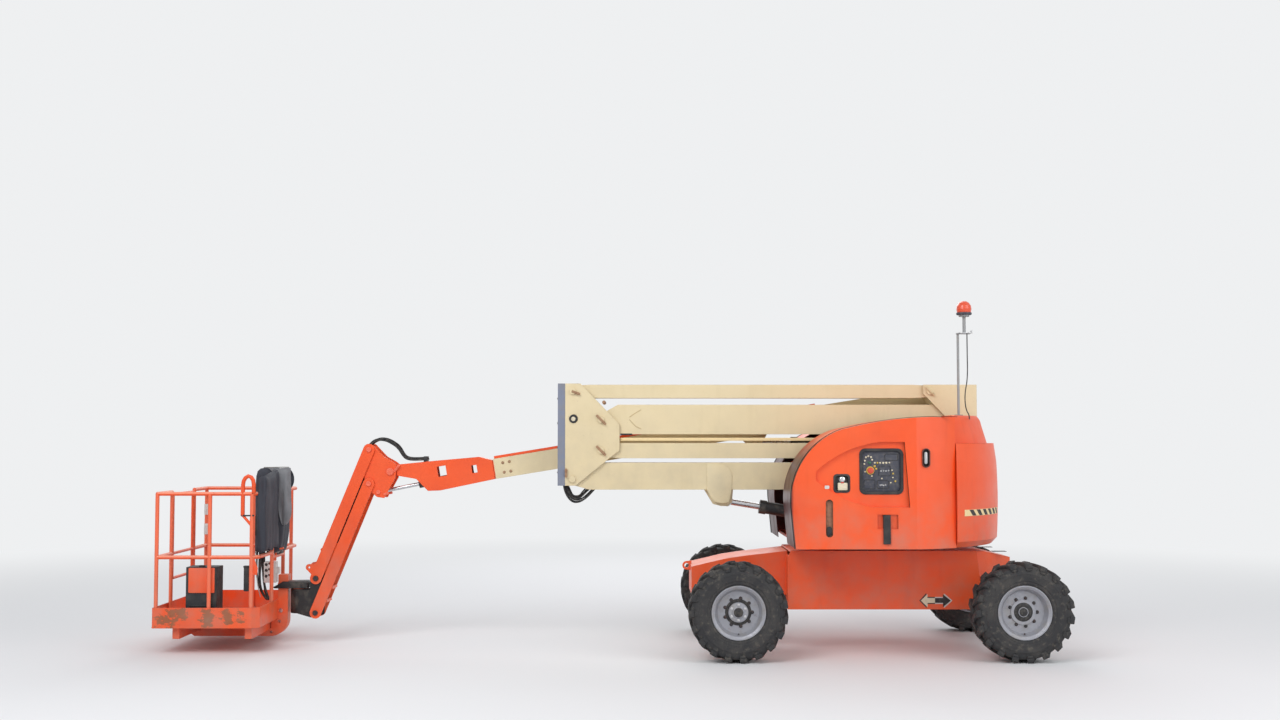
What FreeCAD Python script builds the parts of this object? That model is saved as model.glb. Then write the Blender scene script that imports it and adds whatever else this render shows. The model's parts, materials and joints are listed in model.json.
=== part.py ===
import FreeCAD, Part
import math
import os
import re
import Sketcher

os.makedirs("parts", exist_ok=True)
doc = FreeCAD.newDocument("BoomLift")

# Driving sizes in millimetres and degrees
# X runs from the platform to the counterweight, Y away from the near side, Z up from the ground
# Places along X are measured from the slew axis

# Columns: name, value
SIZES = (
    # Wheels
    ("wheel_base", 2380), ("wheel_track", 2000), ("tyre_radius", 416), ("tyre_wide", 310),
    ("lug_tall", 18), ("lug_wide", 44), ("lug_root", 20), ("lug_slant", 62),
    ("rim_radius", 226), ("rim_wide", 262), ("rim_wall", 9), ("rim_disc_inset", 70),
    ("hub_radius", 92), ("cap_radius", 83), ("cap_reach", 26), ("cap_nose", 41), ("front_hub", 105),
    ("hub_reach", 8), ("stud_circle", 117), ("stud_radius", 9), ("stud_reach", 16),
    # Chassis
    ("chassis_floor", 362), ("chassis_top", 875), ("chassis_end_top", 800), ("chassis_half", 400),
    ("frame_left", 482), ("frame_right", 232), ("chassis_wall", 12), ("nose_reach", 360),
    ("nose_half", 290), ("nose_floor", 480), ("nose_top", 728), ("tongue_reach", 120), ("tongue_floor", 640),
    ("tie_z", 715), ("tie_reach", 34), ("tie_radius", 20), ("tie_half", 12),
    ("axle_radius", 62), ("axle_bulge", 150), ("axle_flange", 112), ("axle_seat", 0.3),
    ("beam_deep", 130), ("beam_tall", 120), ("beam_half", 640), ("kingpin_y", 725),
    ("kingpin_radius", 26), ("knuckle_tall", 230), ("steer_arm", 150), ("steer_bar_radius", 20),
    ("steer_barrel_radius", 45), ("steer_barrel_half", 260), ("steer_bar_half", 702),
    ("steer_drop", 96),
    # Turntable
    ("ring_radius", 390), ("ring_bore", 300), ("ring_tall", 68), ("floor_thick", 25),
    ("floor_in", 45), ("channel_half", 400), ("bulkhead_wall", 8), ("floor_left", 640),
    ("hood_half", 1130), ("hood_front", 745), ("tail_long", 520), ("hood_top", 2041),
    ("hood_sill", 942), ("hood_wall", 8), ("hood_gap", 20), ("hinge_radius", 11), ("hinge_drop", 14),
    ("hinge_long", 50), ("tail_gap", 25),
    ("weight_top", 1822), ("weight_bulge", 35), ("weight_thick", 150), ("cover_top", 2062),
    ("seam_gap", 5), ("panel_left", -162), ("panel_right", 178), ("panel_low", 1410),
    ("panel_high", 1767), ("recess_deep", 30), ("slot_half", 30), ("latch_deep", 20),
    ("engine_long", 700), ("engine_side", 170), ("engine_tall", 560),
    ("tank_long", 620), ("tank_side", 250), ("tank_tall", 380), ("coupling_radius", 90),
    # Tower
    ("tower_y", -150), ("tower_half", 120), ("plate", 12), ("link_half", 92), ("link_long", 3200),
    ("lower_pin_x", 590), ("lower_pin_z", 1500), ("pin_step", 255), ("mid_rise", 275),
    ("pin_radius", 30), ("pin_gap", 0.3), ("open_gap", 3), ("tube_wall", 8),
    ("lower_boom_up", 148), ("lower_boom_down", 93), ("mid_boom_up", 136), ("mid_boom_down", 129),
    ("top_link_half_tall", 60), ("low_link_half_tall", 68), ("pin_head", 14),
    ("upright_margin", 66), ("upright_web", 6), ("eye_round", 52), ("guard_deep", 66), ("guard_wall", 5),
    # Main boom
    ("boom_y", 130), ("boom_half", 80), ("boom_slope", 9.3), ("boom_rise", 235),
    ("boom_long", 4240), ("boom_up", 98), ("boom_down", 86), ("boom_wall", 8), ("fly_gap", 8),
    ("fly_wall", 7), ("fly_tail", 900), ("pad_long", 110), ("fly_seam", 12), ("fly_nose_half", 76),
    ("fly_nose_wall", 10), ("bracket_pin_u", 5181), ("bracket_pin_v", 136),
    ("tray_thick", 24), ("tray_half", 62), ("tray_right", 1250), ("upright_right", 160),
    # Jib
    ("jib_long", 1260), ("jib_drop", 68), ("jib_pitch", 310), ("jib_arm_deep", 104),
    ("jib_arm_in", 100), ("jib_arm_out", 112), ("jib_plate_in", 84), ("jib_plate_out", 94),
    ("jib_pin_radius", 22), ("jib_pin_dx", 193), ("jib_pin_up", 201),
    # Rotator and platform
    ("head_radius", 80), ("rotator_x", 166), ("platform_right", 352),
    ("platform_long", 915), ("platform_wide", 1520), ("floor_low", 228), ("toe_tall", 176),
    ("toe_wall", 4), ("deck_thick", 4), ("tread_thick", 3), ("mid_rail_z", 836), ("top_rail_z", 1384),
    ("rail_radius", 17), ("post_half", 55), ("post_low", 70), ("post_deep", 90),
    ("console_half", 170), ("post_in", 72), ("gate_half", 330), ("console_post", 212),
    ("cover_half", 184),
    # Cylinders
    ("ram_radius", 55), ("ram_rod", 27), ("ram_pin", 26), ("ram_eye", 46), ("ram_half", 30),
    ("tower_base_x", 300), ("tower_base_z", 1050), ("tower_eye_u", 1817), ("tower_eye_drop", 199),
    ("main_base_back", 70), ("main_base_drop", 465), ("main_eye_u", 1848), ("main_eye_drop", 148),
    ("level_base_u", 4510), ("level_base_v", -4), ("level_eye_back", 106), ("level_eye_drop", 187),
    ("tower_barrel", 1250), ("main_barrel", 1400), ("jib_barrel", 900), ("level_barrel", 440),
    # Beacon
    ("mast_radius", 11), ("mast_right", 98), ("mast_in", 175), ("mast_top", 2770),
    ("beacon_radius", 65), ("beacon_tall", 118), ("stem_radius", 14), ("beacon_shift", 56),
    ("beacon_top", 3057),
)
sheet = doc.addObject("Spreadsheet::Sheet", "Sizes")
for row, (name, size) in enumerate(SIZES, start=1):
    sheet.set(f"A{row}", name)
    sheet.set(f"B{row}", str(size))
    sheet.setAlias(f"B{row}", name)
doc.recompute()

# Places worked out from the driving sizes
PLACES = (
    ("axle_x", "wheel_base / 2"),
    ("tyre_y", "wheel_track / 2"),
    ("nose_left", "axle_x + nose_reach"),
    ("chassis_left", "axle_x - frame_left"),
    ("chassis_right", "axle_x - frame_right"),
    ("tongue_right", "axle_x + tongue_reach"),
    ("turntable_z", "chassis_top + ring_tall + 2 * axle_seat"),
    ("deck_z", "turntable_z + floor_thick"),
    ("low_link_x", "lower_pin_x + pin_step"),
    ("low_link_z", "lower_pin_z + pin_step"),
    ("weight_left", "low_link_x + upright_right + tail_gap"),
    ("tail_radius", "weight_left + weight_thick"),
    ("hood_seam", "tail_radius - tail_long"),
    ("floor_half", "hood_half - floor_in"),
    ("mast_x", "hood_seam + mast_right"),
    ("mast_y", "-sqrt((tail_radius - mast_in)^2 - mast_x^2)"),
    ("mid_pin_z", "low_link_z + mid_rise"),
    ("top_pin_z", "mid_pin_z + pin_step"),
    ("tower_near", "tower_y - tower_half"),
    ("tower_far", "tower_y + tower_half"),
    ("main_pin_x", "low_link_x + 5"),
    ("main_pin_z", "mid_pin_z + boom_rise"),
    ("bracket_x", "main_pin_x - bracket_pin_u * cos(boom_slope * 1deg)"
     " - bracket_pin_v * sin(boom_slope * 1deg)"),
    ("bracket_z", "main_pin_z - bracket_pin_u * sin(boom_slope * 1deg)"
     " + bracket_pin_v * cos(boom_slope * 1deg)"),
    ("jib_pin_x", "bracket_x - jib_pin_dx"),
    ("jib_high_z", "bracket_z + jib_pin_up"),
    ("jib_low_z", "jib_high_z - jib_pitch"),
    ("head_pin_x", "jib_pin_x - jib_long * cos(jib_drop * 1deg)"),
    ("head_high_z", "jib_high_z - jib_long * sin(jib_drop * 1deg)"),
    ("head_low_z", "head_high_z - jib_pitch"),
    ("turn_x", "head_pin_x - rotator_x"),
    ("basket_right", "head_pin_x - platform_right"),
    ("basket_left", "basket_right - platform_long"),
    ("basket_near", "boom_y - platform_wide / 2"),
    ("basket_far", "boom_y + platform_wide / 2"),
    ("tower_left_x", "lower_pin_x - link_long"),
    ("tower_eye_x", "lower_pin_x - tower_eye_u"),
    ("tower_eye_z", "lower_pin_z - tower_eye_drop"),
    ("main_base_x", "main_pin_x - main_base_back"),
    ("main_base_z", "main_pin_z - main_base_drop"),
    ("main_eye_x", "main_pin_x - main_eye_u * cos(boom_slope * 1deg)"
     " + main_eye_drop * sin(boom_slope * 1deg)"),
    ("main_eye_z", "main_pin_z - main_eye_u * sin(boom_slope * 1deg)"
     " - main_eye_drop * cos(boom_slope * 1deg)"),
    ("level_base_x", "main_pin_x - level_base_u * cos(boom_slope * 1deg)"
     " - level_base_v * sin(boom_slope * 1deg)"),
    ("level_base_z", "main_pin_z - level_base_u * sin(boom_slope * 1deg)"
     " + level_base_v * cos(boom_slope * 1deg)"),
    ("level_eye_x", "bracket_x - level_eye_back"),
    ("level_eye_z", "bracket_z - level_eye_drop"),
    ("slew_x", "(-basket_left - axle_x - tyre_radius) / 2"),
)
places = doc.addObject("App::VarSet", "Places")


def bind(text):
    """Writes each name in a formula as the sheet's cell or the place that it stands for."""
    def full(match):
        word = match.group(0)
        if word in SIZE_NAMES:
            return "Sizes." + word
        return "Places." + word if word in PLACE_NAMES else word
    return re.sub(r"[a-z_]+[a-z0-9_]*", full, str(text))


def value(text):
    return float(sheet.evalExpression(bind(text)))


SIZE_NAMES = {name for name, _ in SIZES}
PLACE_NAMES = set()
for name, formula in PLACES:
    places.addProperty("App::PropertyFloat", name, "Places")
    places.setExpression(name, bind(formula))
    PLACE_NAMES.add(name)
    places.recompute()

# Making shapes

PLANES = {"side": "XZ_Plane", "plan": "XY_Plane", "end": "YZ_Plane"}
own_x = {}


def place(thing, x=0, y=0, z=0, turn=0, axis=(0, 1, 0)):
    """Binds where a shape lies; a positive turn about Y raises the platform's end."""
    spin = FreeCAD.Rotation(FreeCAD.Vector(*axis), value(turn) or 1)
    thing.Placement = FreeCAD.Placement(FreeCAD.Vector(0, 0, 0), spin)
    thing.setExpression("Placement.Rotation.Angle", f"({bind(turn)}) * 1deg")
    for key, text in (("x", x), ("y", y), ("z", z)):
        thing.setExpression("Placement.Base." + key, bind(text))
    own_x[thing.Name] = bind(x)
    return thing


def close_loop(sketch, outline):
    """Draws corners joined by lines, or by an arc through a point marked as via, all bound."""
    corners = [row for row in outline if row[0] != "via"]
    via = {}
    seen = -1
    for row in outline:
        if row[0] == "via":
            via[seen] = row[1:]
        else:
            seen += 1
    flat = [FreeCAD.Vector(value(x), value(y), 0) for x, y in corners]
    count = len(flat)
    ends = []
    for i in range(count):
        start, end = flat[i], flat[(i + 1) % count]
        if i not in via:
            piece = sketch.addGeometry(Part.LineSegment(start, end), False)
            ends.append((piece, 1, 2))
            continue
        middle = FreeCAD.Vector(value(via[i][0]), value(via[i][1]), 0)
        left_turn = (middle - start).cross(end - start).z > 0
        arc = Part.Arc(start, middle, end) if left_turn else Part.Arc(end, middle, start)
        piece = sketch.addGeometry(arc, False)
        ends.append((piece, 1, 2) if left_turn else (piece, 2, 1))
        mark = sketch.addGeometry(Part.Point(middle), True)
        sketch.addConstraint(Sketcher.Constraint("PointOnObject", mark, 1, piece))
        pin_point(sketch, mark, 1, *via[i])
    for i in range(count):
        piece, _, last = ends[i]
        following, first, _ = ends[(i + 1) % count]
        sketch.addConstraint(Sketcher.Constraint("Coincident", piece, last, following, first))
    for i in range(count):
        pin_point(sketch, ends[i][0], ends[i][1], *corners[i])


def pin_point(sketch, piece, which, x, y):
    for kind, text in (("DistanceX", x), ("DistanceY", y)):
        rule = Sketcher.Constraint(kind, -1, 1, piece, which, value(text))
        sketch.setExpression(f"Constraints[{sketch.addConstraint(rule)}]", bind(text))


def ring(sketch, x, y, radius):
    centre = FreeCAD.Vector(value(x), value(y), 0)
    piece = sketch.addGeometry(Part.Circle(centre, FreeCAD.Vector(0, 0, 1), value(radius)), False)
    pin_point(sketch, piece, 3, x, y)
    rule = Sketcher.Constraint("Radius", piece, value(radius))
    sketch.setExpression(f"Constraints[{sketch.addConstraint(rule)}]", bind(radius))


def new_sketch(body, name, plane, outline, holes=()):
    """A hole is either a circle, as (x, y, radius), or a list of corners."""
    sketch = body.newObject("Sketcher::SketchObject", name)
    role = PLANES[plane]
    origin = [item for item in body.Origin.OriginFeatures if item.Role == role][0]
    sketch.AttachmentSupport = (origin, [""])
    sketch.MapMode = "FlatFace"
    if outline:
        close_loop(sketch, outline)
    for hole in holes:
        if isinstance(hole, list):
            close_loop(sketch, hole)
        else:
            ring(sketch, *hole)
    return sketch


def pad(name, plane, outline, span, holes=()):
    """Extrudes an outline between the two places named in span, along the plane's normal."""
    body = doc.addObject("PartDesign::Body", name)
    sketch = new_sketch(body, name + "_sketch", plane, outline, holes)
    feature = body.newObject("PartDesign::Pad", name + "_pad")
    feature.Profile = sketch
    low, high = span
    feature.setExpression("Length", f"({bind(high)}) - ({bind(low)})")
    key, text = {"side": ("y", high), "plan": ("z", low), "end": ("x", low)}[plane]
    place(body, **{key: text})
    return body


def turned(name, plane, outline, about="H_Axis"):
    """Revolves an outline about its sketch's own horizontal or vertical axis."""
    body = doc.addObject("PartDesign::Body", name)
    sketch = new_sketch(body, name + "_sketch", plane, outline)
    feature = body.newObject("PartDesign::Revolution", name + "_turn")
    feature.Profile = sketch
    feature.ReferenceAxis = (sketch, [about])
    feature.Angle = 360
    place(body)
    return body


def box(name, x, y, z):
    solid = doc.addObject("Part::Box", name)
    for key, (low, high) in zip(("Length", "Width", "Height"), (x, y, z)):
        solid.setExpression(key, f"({bind(high)}) - ({bind(low)})")
    return place(solid, x[0], y[0], z[0])


def rod(name, along, radius, span, x=0, y=0, z=0):
    """A round bar along one axis, between the two places in span."""
    solid = doc.addObject("Part::Cylinder", name)
    low, high = span
    solid.setExpression("Radius", bind(radius))
    solid.setExpression("Height", f"({bind(high)}) - ({bind(low)})")
    if along == "x":
        return place(solid, low, y, z, 90, (0, 1, 0))
    if along == "y":
        return place(solid, x, low, z, -90, (1, 0, 0))
    return place(solid, x, y, low)


def fuse(name, *shapes):
    joined = doc.addObject("Part::MultiFuse", name)
    joined.Shapes = list(shapes)
    return place(joined)


def group(name, *shapes):
    joined = doc.addObject("Part::Compound", name)
    joined.Links = list(shapes)
    return place(joined)


def cut(name, base, *tools):
    cleared = doc.addObject("Part::Cut", name)
    cleared.Base = base
    cleared.Tool = tools[0] if len(tools) == 1 else fuse(name + "_tools", *tools)
    return place(cleared)


def common(name, first, second):
    shared = doc.addObject("Part::Common", name)
    shared.Base = first
    shared.Tool = second
    return place(shared)


nodes = []


def node(label, thing):
    """Names a finished sub-part and moves it from the slew axis to the middle of the length."""
    thing.Label = label
    thing.setExpression("Placement.Base.x", f"Places.slew_x + ({own_x[thing.Name]})")
    nodes.append(thing)


def square(low_x, high_x, low_y, high_y):
    return [(low_x, low_y), (high_x, low_y), (high_x, high_y), (low_x, high_y)]


def times(sign, text):
    return f"{sign} * ({text})"


# Wheels

LUG_COUNT = 14


def tyre(label, x, y):
    """A wide tyre with two staggered rows of slanted lugs, trimmed to the rolling radius."""
    half = "tyre_wide / 2"
    body = doc.addObject("PartDesign::Body", label + "_body")
    section = new_sketch(body, label + "_section", "end", [
        (f"-{half} + 26", "rim_radius + 4"), (f"{half} - 26", "rim_radius + 4"),
        (f"{half} - 4", "rim_radius + 58"), (f"{half} - 4", "tyre_radius - 74"),
        (f"{half} - 20", "tyre_radius - lug_tall - 6"), (f"{half} - 60", "tyre_radius - lug_tall"),
        (f"-{half} + 60", "tyre_radius - lug_tall"), (f"-{half} + 20", "tyre_radius - lug_tall - 6"),
        (f"-{half} + 4", "tyre_radius - 74"), (f"-{half} + 4", "rim_radius + 58"),
    ])
    carcass = body.newObject("PartDesign::Revolution", label + "_carcass")
    carcass.Profile = section
    carcass.ReferenceAxis = (section, ["H_Axis"])
    carcass.Angle = 360
    body.Tip = carcass
    spin_axis = [item for item in body.Origin.OriginFeatures if item.Role == "Y_Axis"][0]
    for side, name in ((-1, "near"), (1, "far")):
        lug = new_sketch(body, f"{label}_{name}_lug_plan", "plan", [
            (times(side, "-lug_wide / 2"), times(side, "12")),
            (times(side, "lug_wide / 2"), times(side, "12")),
            (times(side, "lug_wide / 2 + lug_slant"), times(side, half)),
            (times(side, "-lug_wide / 2 + lug_slant"), times(side, half)),
        ])
        lug.setExpression("AttachmentOffset.Base.z", bind("tyre_radius - lug_tall - lug_root"))
        block = body.newObject("PartDesign::Pad", f"{label}_{name}_lug")
        block.Profile = lug
        block.setExpression("Length", bind("lug_tall + lug_root + lug_tall"))
        row = body.newObject("PartDesign::PolarPattern", f"{label}_{name}_row")
        row.Originals = [block]
        row.Axis = (spin_axis, [""])
        row.Angle = 360
        row.Occurrences = LUG_COUNT
        body.Tip = row
    limit = rod(label + "_limit", "y", "tyre_radius", (f"-{half} - 20", f"{half} + 20"))
    node(label, place(common(label + "_all", body, limit), x, y, "tyre_radius"))


def hexagon(name, radius, span, x, z):
    """A six-sided nut that points along Y."""
    made = doc.addObject("Part::Prism", name)
    made.Polygon = 6
    made.setExpression("Circumradius", bind(radius))
    made.setExpression("Height", bind(f"({span[1]}) - ({span[0]})"))
    made.Placement.Rotation = FreeCAD.Rotation(FreeCAD.Vector(1, 0, 0), -90)
    made.setExpression("Placement.Base.x", bind(x))
    made.setExpression("Placement.Base.y", bind(span[0]))
    made.setExpression("Placement.Base.z", bind(z))
    return made


def standing(side, disc, high):
    """The span of a boss that stands on the outer face of a wheel's disc."""
    low, high = f"{disc} - 1", f"{disc} + {high}"
    return (low, high) if side > 0 else (f"-({high})", f"-({low})")


def rim(label, x, y, side):
    """A dished steel rim with its disc, hub and wheel nuts; side points to the outer face."""
    half = "rim_wide / 2"
    disc = f"{half} - rim_disc_inset"
    section = [
        (f"-{half}", "rim_radius - rim_wall"), (f"-{half} + 12", "rim_radius - rim_wall - 16"),
        (f"{disc} - 10", "rim_radius - rim_wall - 30"), (f"{disc} - 10", "0"),
        (disc, "0"), (disc, "rim_radius - rim_wall - 44"),
        (f"{half} - 14", "rim_radius - rim_wall - 20"), (f"{half}", "rim_radius - rim_wall"),
        (half, "rim_radius"), (f"{half} - 22", "rim_radius + 3.7"),
        (f"-{half} + 22", "rim_radius + 3.7"), (f"-{half}", "rim_radius"),
    ]
    section = [(times(side, across), up) for across, up in section]
    dish = turned(label + "_dish", "end", section)
    if "rear" in label:
        pieces = [dish, rod(label + "_cap", "y", "cap_radius", standing(side, disc, "cap_reach")),
                  rod(label + "_nose", "y", "cap_nose", standing(side, disc, "cap_reach + 12"))]
    else:
        ring = rod(label + "_ring", "y", "front_hub", standing(side, disc, "hub_reach"))
        well = rod(label + "_well", "y", "front_hub - 26", standing(side, disc, "cap_reach"))
        pieces = [cut(label + "_pan", fuse(label + "_front", dish, ring), well),
                  rod(label + "_nose", "y", "cap_nose", standing(side, disc, "hub_reach + 6"))]
    for i in range(STUDS):
        turn = 360 * i / STUDS
        pieces.append(hexagon(f"{label}_nut{i}", "stud_radius", standing(side, disc, "stud_reach"),
                              f"stud_circle * cos({turn}deg)", f"stud_circle * sin({turn}deg)"))
    node(label, place(fuse(label + "_all", *pieces), x, y, "tyre_radius"))


STUDS = 9
WHEELS = (
    # Columns: name, which axle, which side
    ("rear_near", -1, -1), ("rear_far", -1, 1), ("front_near", 1, -1), ("front_far", 1, 1),
)
for name, axle, side in WHEELS:
    tyre("tyre_" + name, times(axle, "axle_x"), times(side, "tyre_y"))
    rim("rim_" + name, times(axle, "axle_x"), times(side, "tyre_y"), side)

# Axles and steering

HUB_SEAT = "tyre_y + rim_wide / 2 - rim_disc_inset - 10 - axle_seat"
drive = turned("drive_axle_bar", "end", [
    (f"-({HUB_SEAT})", "0"), (f"-({HUB_SEAT})", "hub_radius"), (f"-({HUB_SEAT}) + 110", "axle_flange"),
    (f"-({HUB_SEAT}) + 130", "axle_radius"), ("-axle_bulge - 70", "axle_radius"),
    ("-axle_bulge + 20", "axle_bulge - 20"), ("via", "0", "axle_bulge"),
    ("axle_bulge - 20", "axle_bulge - 20"), ("axle_bulge + 70", "axle_radius"),
    (f"{HUB_SEAT} - 130", "axle_radius"), (f"{HUB_SEAT} - 110", "axle_flange"),
    (HUB_SEAT, "hub_radius"), (HUB_SEAT, "0"),
])
node("rear_axle", place(drive, "-axle_x", 0, "tyre_radius"))

beam = box("beam", ("-beam_deep / 2", "beam_deep / 2"), ("-beam_half", "beam_half"),
           ("-beam_tall / 2", "beam_tall / 2"))
yokes = []
for side, name in ((-1, "near"), (1, "far")):
    low, high = ("-kingpin_y - 45", "-beam_half") if side < 0 else ("beam_half", "kingpin_y + 45")
    for level, word in ((-1, "low"), (1, "high")):
        bottom, top = (("-knuckle_tall / 2 - 24", "-knuckle_tall / 2") if level < 0 else
                       ("knuckle_tall / 2", "knuckle_tall / 2 + 24"))
        yokes.append(box(f"yoke_{name}_{word}", ("-beam_deep / 2", "beam_deep / 2"), (low, high),
                         (bottom, top)))
    yokes.append(box(f"yoke_{name}_back", ("-beam_deep / 2", "beam_deep / 2"),
                     ("-beam_half", "-beam_half + 24") if side < 0 else
                     ("beam_half - 24", "beam_half"),
                     ("-knuckle_tall / 2 - 24", "knuckle_tall / 2 + 24")))
    yokes.append(rod(f"kingpin_{name}", "z", "kingpin_radius",
                     ("-knuckle_tall / 2 - 30", "knuckle_tall / 2 + 30"), 0,
                     times(side, "kingpin_y")))
pivot = rod("beam_pivot", "x", 46, ("-beam_deep / 2 - 70", "beam_deep / 2 + 70"), 0, 0,
            "beam_tall / 2 + 24")
node("front_axle", place(fuse("front_axle_all", beam, pivot, *yokes), "axle_x", 0, "tyre_radius"))

for side, name in ((-1, "near"), (1, "far")):
    def out(low, high):
        return (low, high) if side > 0 else (f"-({high})", f"-({low})")
    post = rod(f"knuckle_{name}_post", "z", "kingpin_radius + 24",
               ("-knuckle_tall / 2 + pin_gap", "knuckle_tall / 2 - pin_gap"), 0,
               times(side, "kingpin_y"))
    hub = rod(f"knuckle_{name}_hub", "y", "axle_flange - 12", out("kingpin_y + 10", HUB_SEAT))
    arm = box(f"knuckle_{name}_arm", ("-steer_arm - 28", "0"), out("kingpin_y - 28", "kingpin_y + 28"),
              ("-steer_drop + steer_bar_radius + 10", "-steer_drop + steer_bar_radius + 30"))
    bore = rod(f"knuckle_{name}_bore", "z", "kingpin_radius + pin_gap",
               ("-knuckle_tall", "knuckle_tall"), 0, times(side, "kingpin_y"))
    whole = cut(f"knuckle_{name}_all", fuse(f"knuckle_{name}_solid", post, hub, arm), bore)
    node("knuckle_" + name, place(whole, "axle_x", 0, "tyre_radius"))

barrel = rod("steer_barrel", "y", "steer_barrel_radius", ("-steer_barrel_half", "steer_barrel_half"))
saddle = box("steer_saddle", ("0", "steer_arm - beam_deep / 2 - axle_seat"), ("-60", "60"),
             ("-20", "steer_drop + 20"))
bore = rod("steer_bore", "y", "steer_bar_radius + pin_gap", ("-steer_bar_half", "steer_bar_half"))
node("steer_cylinder", place(cut("steer_cylinder_all", fuse("steer_solid", barrel, saddle), bore),
                             "axle_x - steer_arm", 0, "tyre_radius - steer_drop"))
bar = rod("steer_shaft", "y", "steer_bar_radius", ("-steer_bar_half", "steer_bar_half"))
eyes = [rod(f"steer_eye_{name}", "z", "28", ("-steer_bar_radius - 4", "steer_bar_radius + 4"), 0,
            times(side, "kingpin_y")) for side, name in ((-1, "near"), (1, "far"))]
node("steer_rod", place(fuse("steer_rod_all", bar, *eyes), "axle_x - steer_arm", 0,
                        "tyre_radius - steer_drop"))

# Chassis

def shell(name, outline, inner, half, wall):
    """A welded box that is closed all round, from a side outline and a smaller one inside it."""
    outer = pad(name + "_outer", "side", outline, (f"-{half}", half))
    hollow = pad(name + "_inner", "side", inner, (f"-{half} + {wall}", f"{half} - {wall}"))
    return cut(name, outer, hollow)


centre = shell("chassis_box", [
    ("-chassis_left", "chassis_floor"), ("chassis_right + 60", "chassis_floor"),
    ("chassis_right", "chassis_top"), ("-chassis_left + 30", "chassis_top"),
    ("-chassis_left", "chassis_top - 60"),
], [
    ("-chassis_left + chassis_wall", "chassis_floor + chassis_wall"),
    ("chassis_right + 46", "chassis_floor + chassis_wall"),
    ("chassis_right - chassis_wall", "chassis_top - chassis_wall"),
    ("-chassis_left + chassis_wall", "chassis_top - chassis_wall"),
], "chassis_half", "chassis_wall")
left = shell("chassis_nose", [
    ("-nose_left", "nose_floor"), ("-chassis_left + 10", "nose_floor"),
    ("-chassis_left + 10", "chassis_top - 8"), ("-nose_left + 480", "nose_top + 97"),
    ("-nose_left + 300", "nose_top + 70"), ("-nose_left", "nose_top"),
], [
    ("-nose_left + chassis_wall", "tyre_radius + axle_bulge + 32"),
    ("-chassis_left - 1", "tyre_radius + axle_bulge + 32"),
    ("-chassis_left - 1", "chassis_top - 24"), ("-nose_left + 480", "nose_top + 82"),
    ("-nose_left + 300", "nose_top + 55"), ("-nose_left + chassis_wall", "nose_top - chassis_wall"),
], "nose_half", "chassis_wall")
tongue_plan = pad("tongue_plan", "plan", [
    ("chassis_right - 10", "-chassis_half + 40"), ("chassis_right + 120", "-chassis_half + 90"),
    ("tongue_right", "-170"), ("tongue_right", "170"),
    ("chassis_right + 120", "chassis_half - 90"), ("chassis_right - 10", "chassis_half - 40"),
], ("tongue_floor - 10", "chassis_top"))
tongue_side = pad("tongue_side", "side", [
    ("chassis_right - 10", "tongue_floor"), ("tongue_right + 10", "tongue_floor"),
    ("tongue_right + 10", "chassis_end_top"), ("chassis_right + 80", "chassis_top - 8"),
    ("chassis_right - 10", "chassis_top - 8"),
], ("-chassis_half", "chassis_half"))
tongue_core = pad("tongue_core", "plan", [
    ("chassis_right + 30", "-chassis_half + 80"), ("tongue_right - 30", "-150"),
    ("tongue_right - 30", "150"), ("chassis_right + 30", "chassis_half - 80"),
], ("tongue_floor + chassis_wall", "chassis_end_top - chassis_wall"))
tongue = cut("tongue", common("tongue_block", tongue_plan, tongue_side), tongue_core)
seat = rod("slew_seat", "z", "ring_radius + 14", ("chassis_top - 20", "chassis_top"))
coupling = rod("rotary_coupling", "z", "coupling_radius", ("chassis_top - 1", "deck_z - 10"))
arch = rod("axle_arch", "y", "axle_bulge + 20", ("-axle_bulge - 75", "axle_bulge + 75"), "-axle_x", 0,
           "tyre_radius")
drive_pads = [box(f"axle_pad_{name}", ("-axle_x - 70", "-axle_x + 70"),
                  (times(side, "nose_half") if side < 0 else "axle_bulge + 75",
                   "-axle_bulge - 75" if side < 0 else "nose_half"),
                  ("tyre_radius + axle_radius + axle_seat", "nose_floor + 30"))
              for side, name in ((-1, "near"), (1, "far"))]
trunnions = [box(f"trunnion_{name}", (low, high), ("-70", "70"),
                 ("tyre_radius + beam_tall / 2 + 24 + 46 + axle_seat", "chassis_end_top - 5"))
             for name, low, high in (("left", "axle_x - beam_deep / 2 - 60", "axle_x - beam_deep / 2"),
                                     ("right", "axle_x + beam_deep / 2", "axle_x + beam_deep / 2 + 60"))]
TIE_DOWNS = (
    # Columns: name, plane, lug's inner end, centre of its hole, its nose, middle and span across
    ("left", "side", "-nose_left + 10", "-nose_left - tie_reach", "-38", "tie_z", "0"),
    ("right", "plan", "tongue_right - 10", "tongue_right + tie_reach", "38", "0", "tie_z"),
)
tie_lugs = []
for name, plane, inner, hole_x, nose, mid, level in TIE_DOWNS:
    tie_lugs.append(pad(f"tie_lug_{name}", plane, [
        (inner, f"{mid} - 44"), (hole_x, f"{mid} - 38"), ("via", f"{hole_x} + {nose}", mid),
        (hole_x, f"{mid} + 38"), (inner, f"{mid} + 44"),
    ], (f"{level} - tie_half", f"{level} + tie_half"), [(hole_x, mid, "tie_radius")]))
node("chassis_frame", cut("chassis_arched", fuse("chassis_all", centre, left, tongue, seat, coupling,
                                                 *drive_pads, *trunnions, *tie_lugs), arch))

outer = rod("slew_outer", "z", "ring_radius", ("chassis_top + axle_seat",
                                                "chassis_top + axle_seat + ring_tall"))
bore = rod("slew_bore", "z", "ring_bore", ("chassis_top - 10", "turntable_z + 10"))
node("slew_ring", cut("slew_ring_all", outer, bore))

# Turntable

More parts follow.
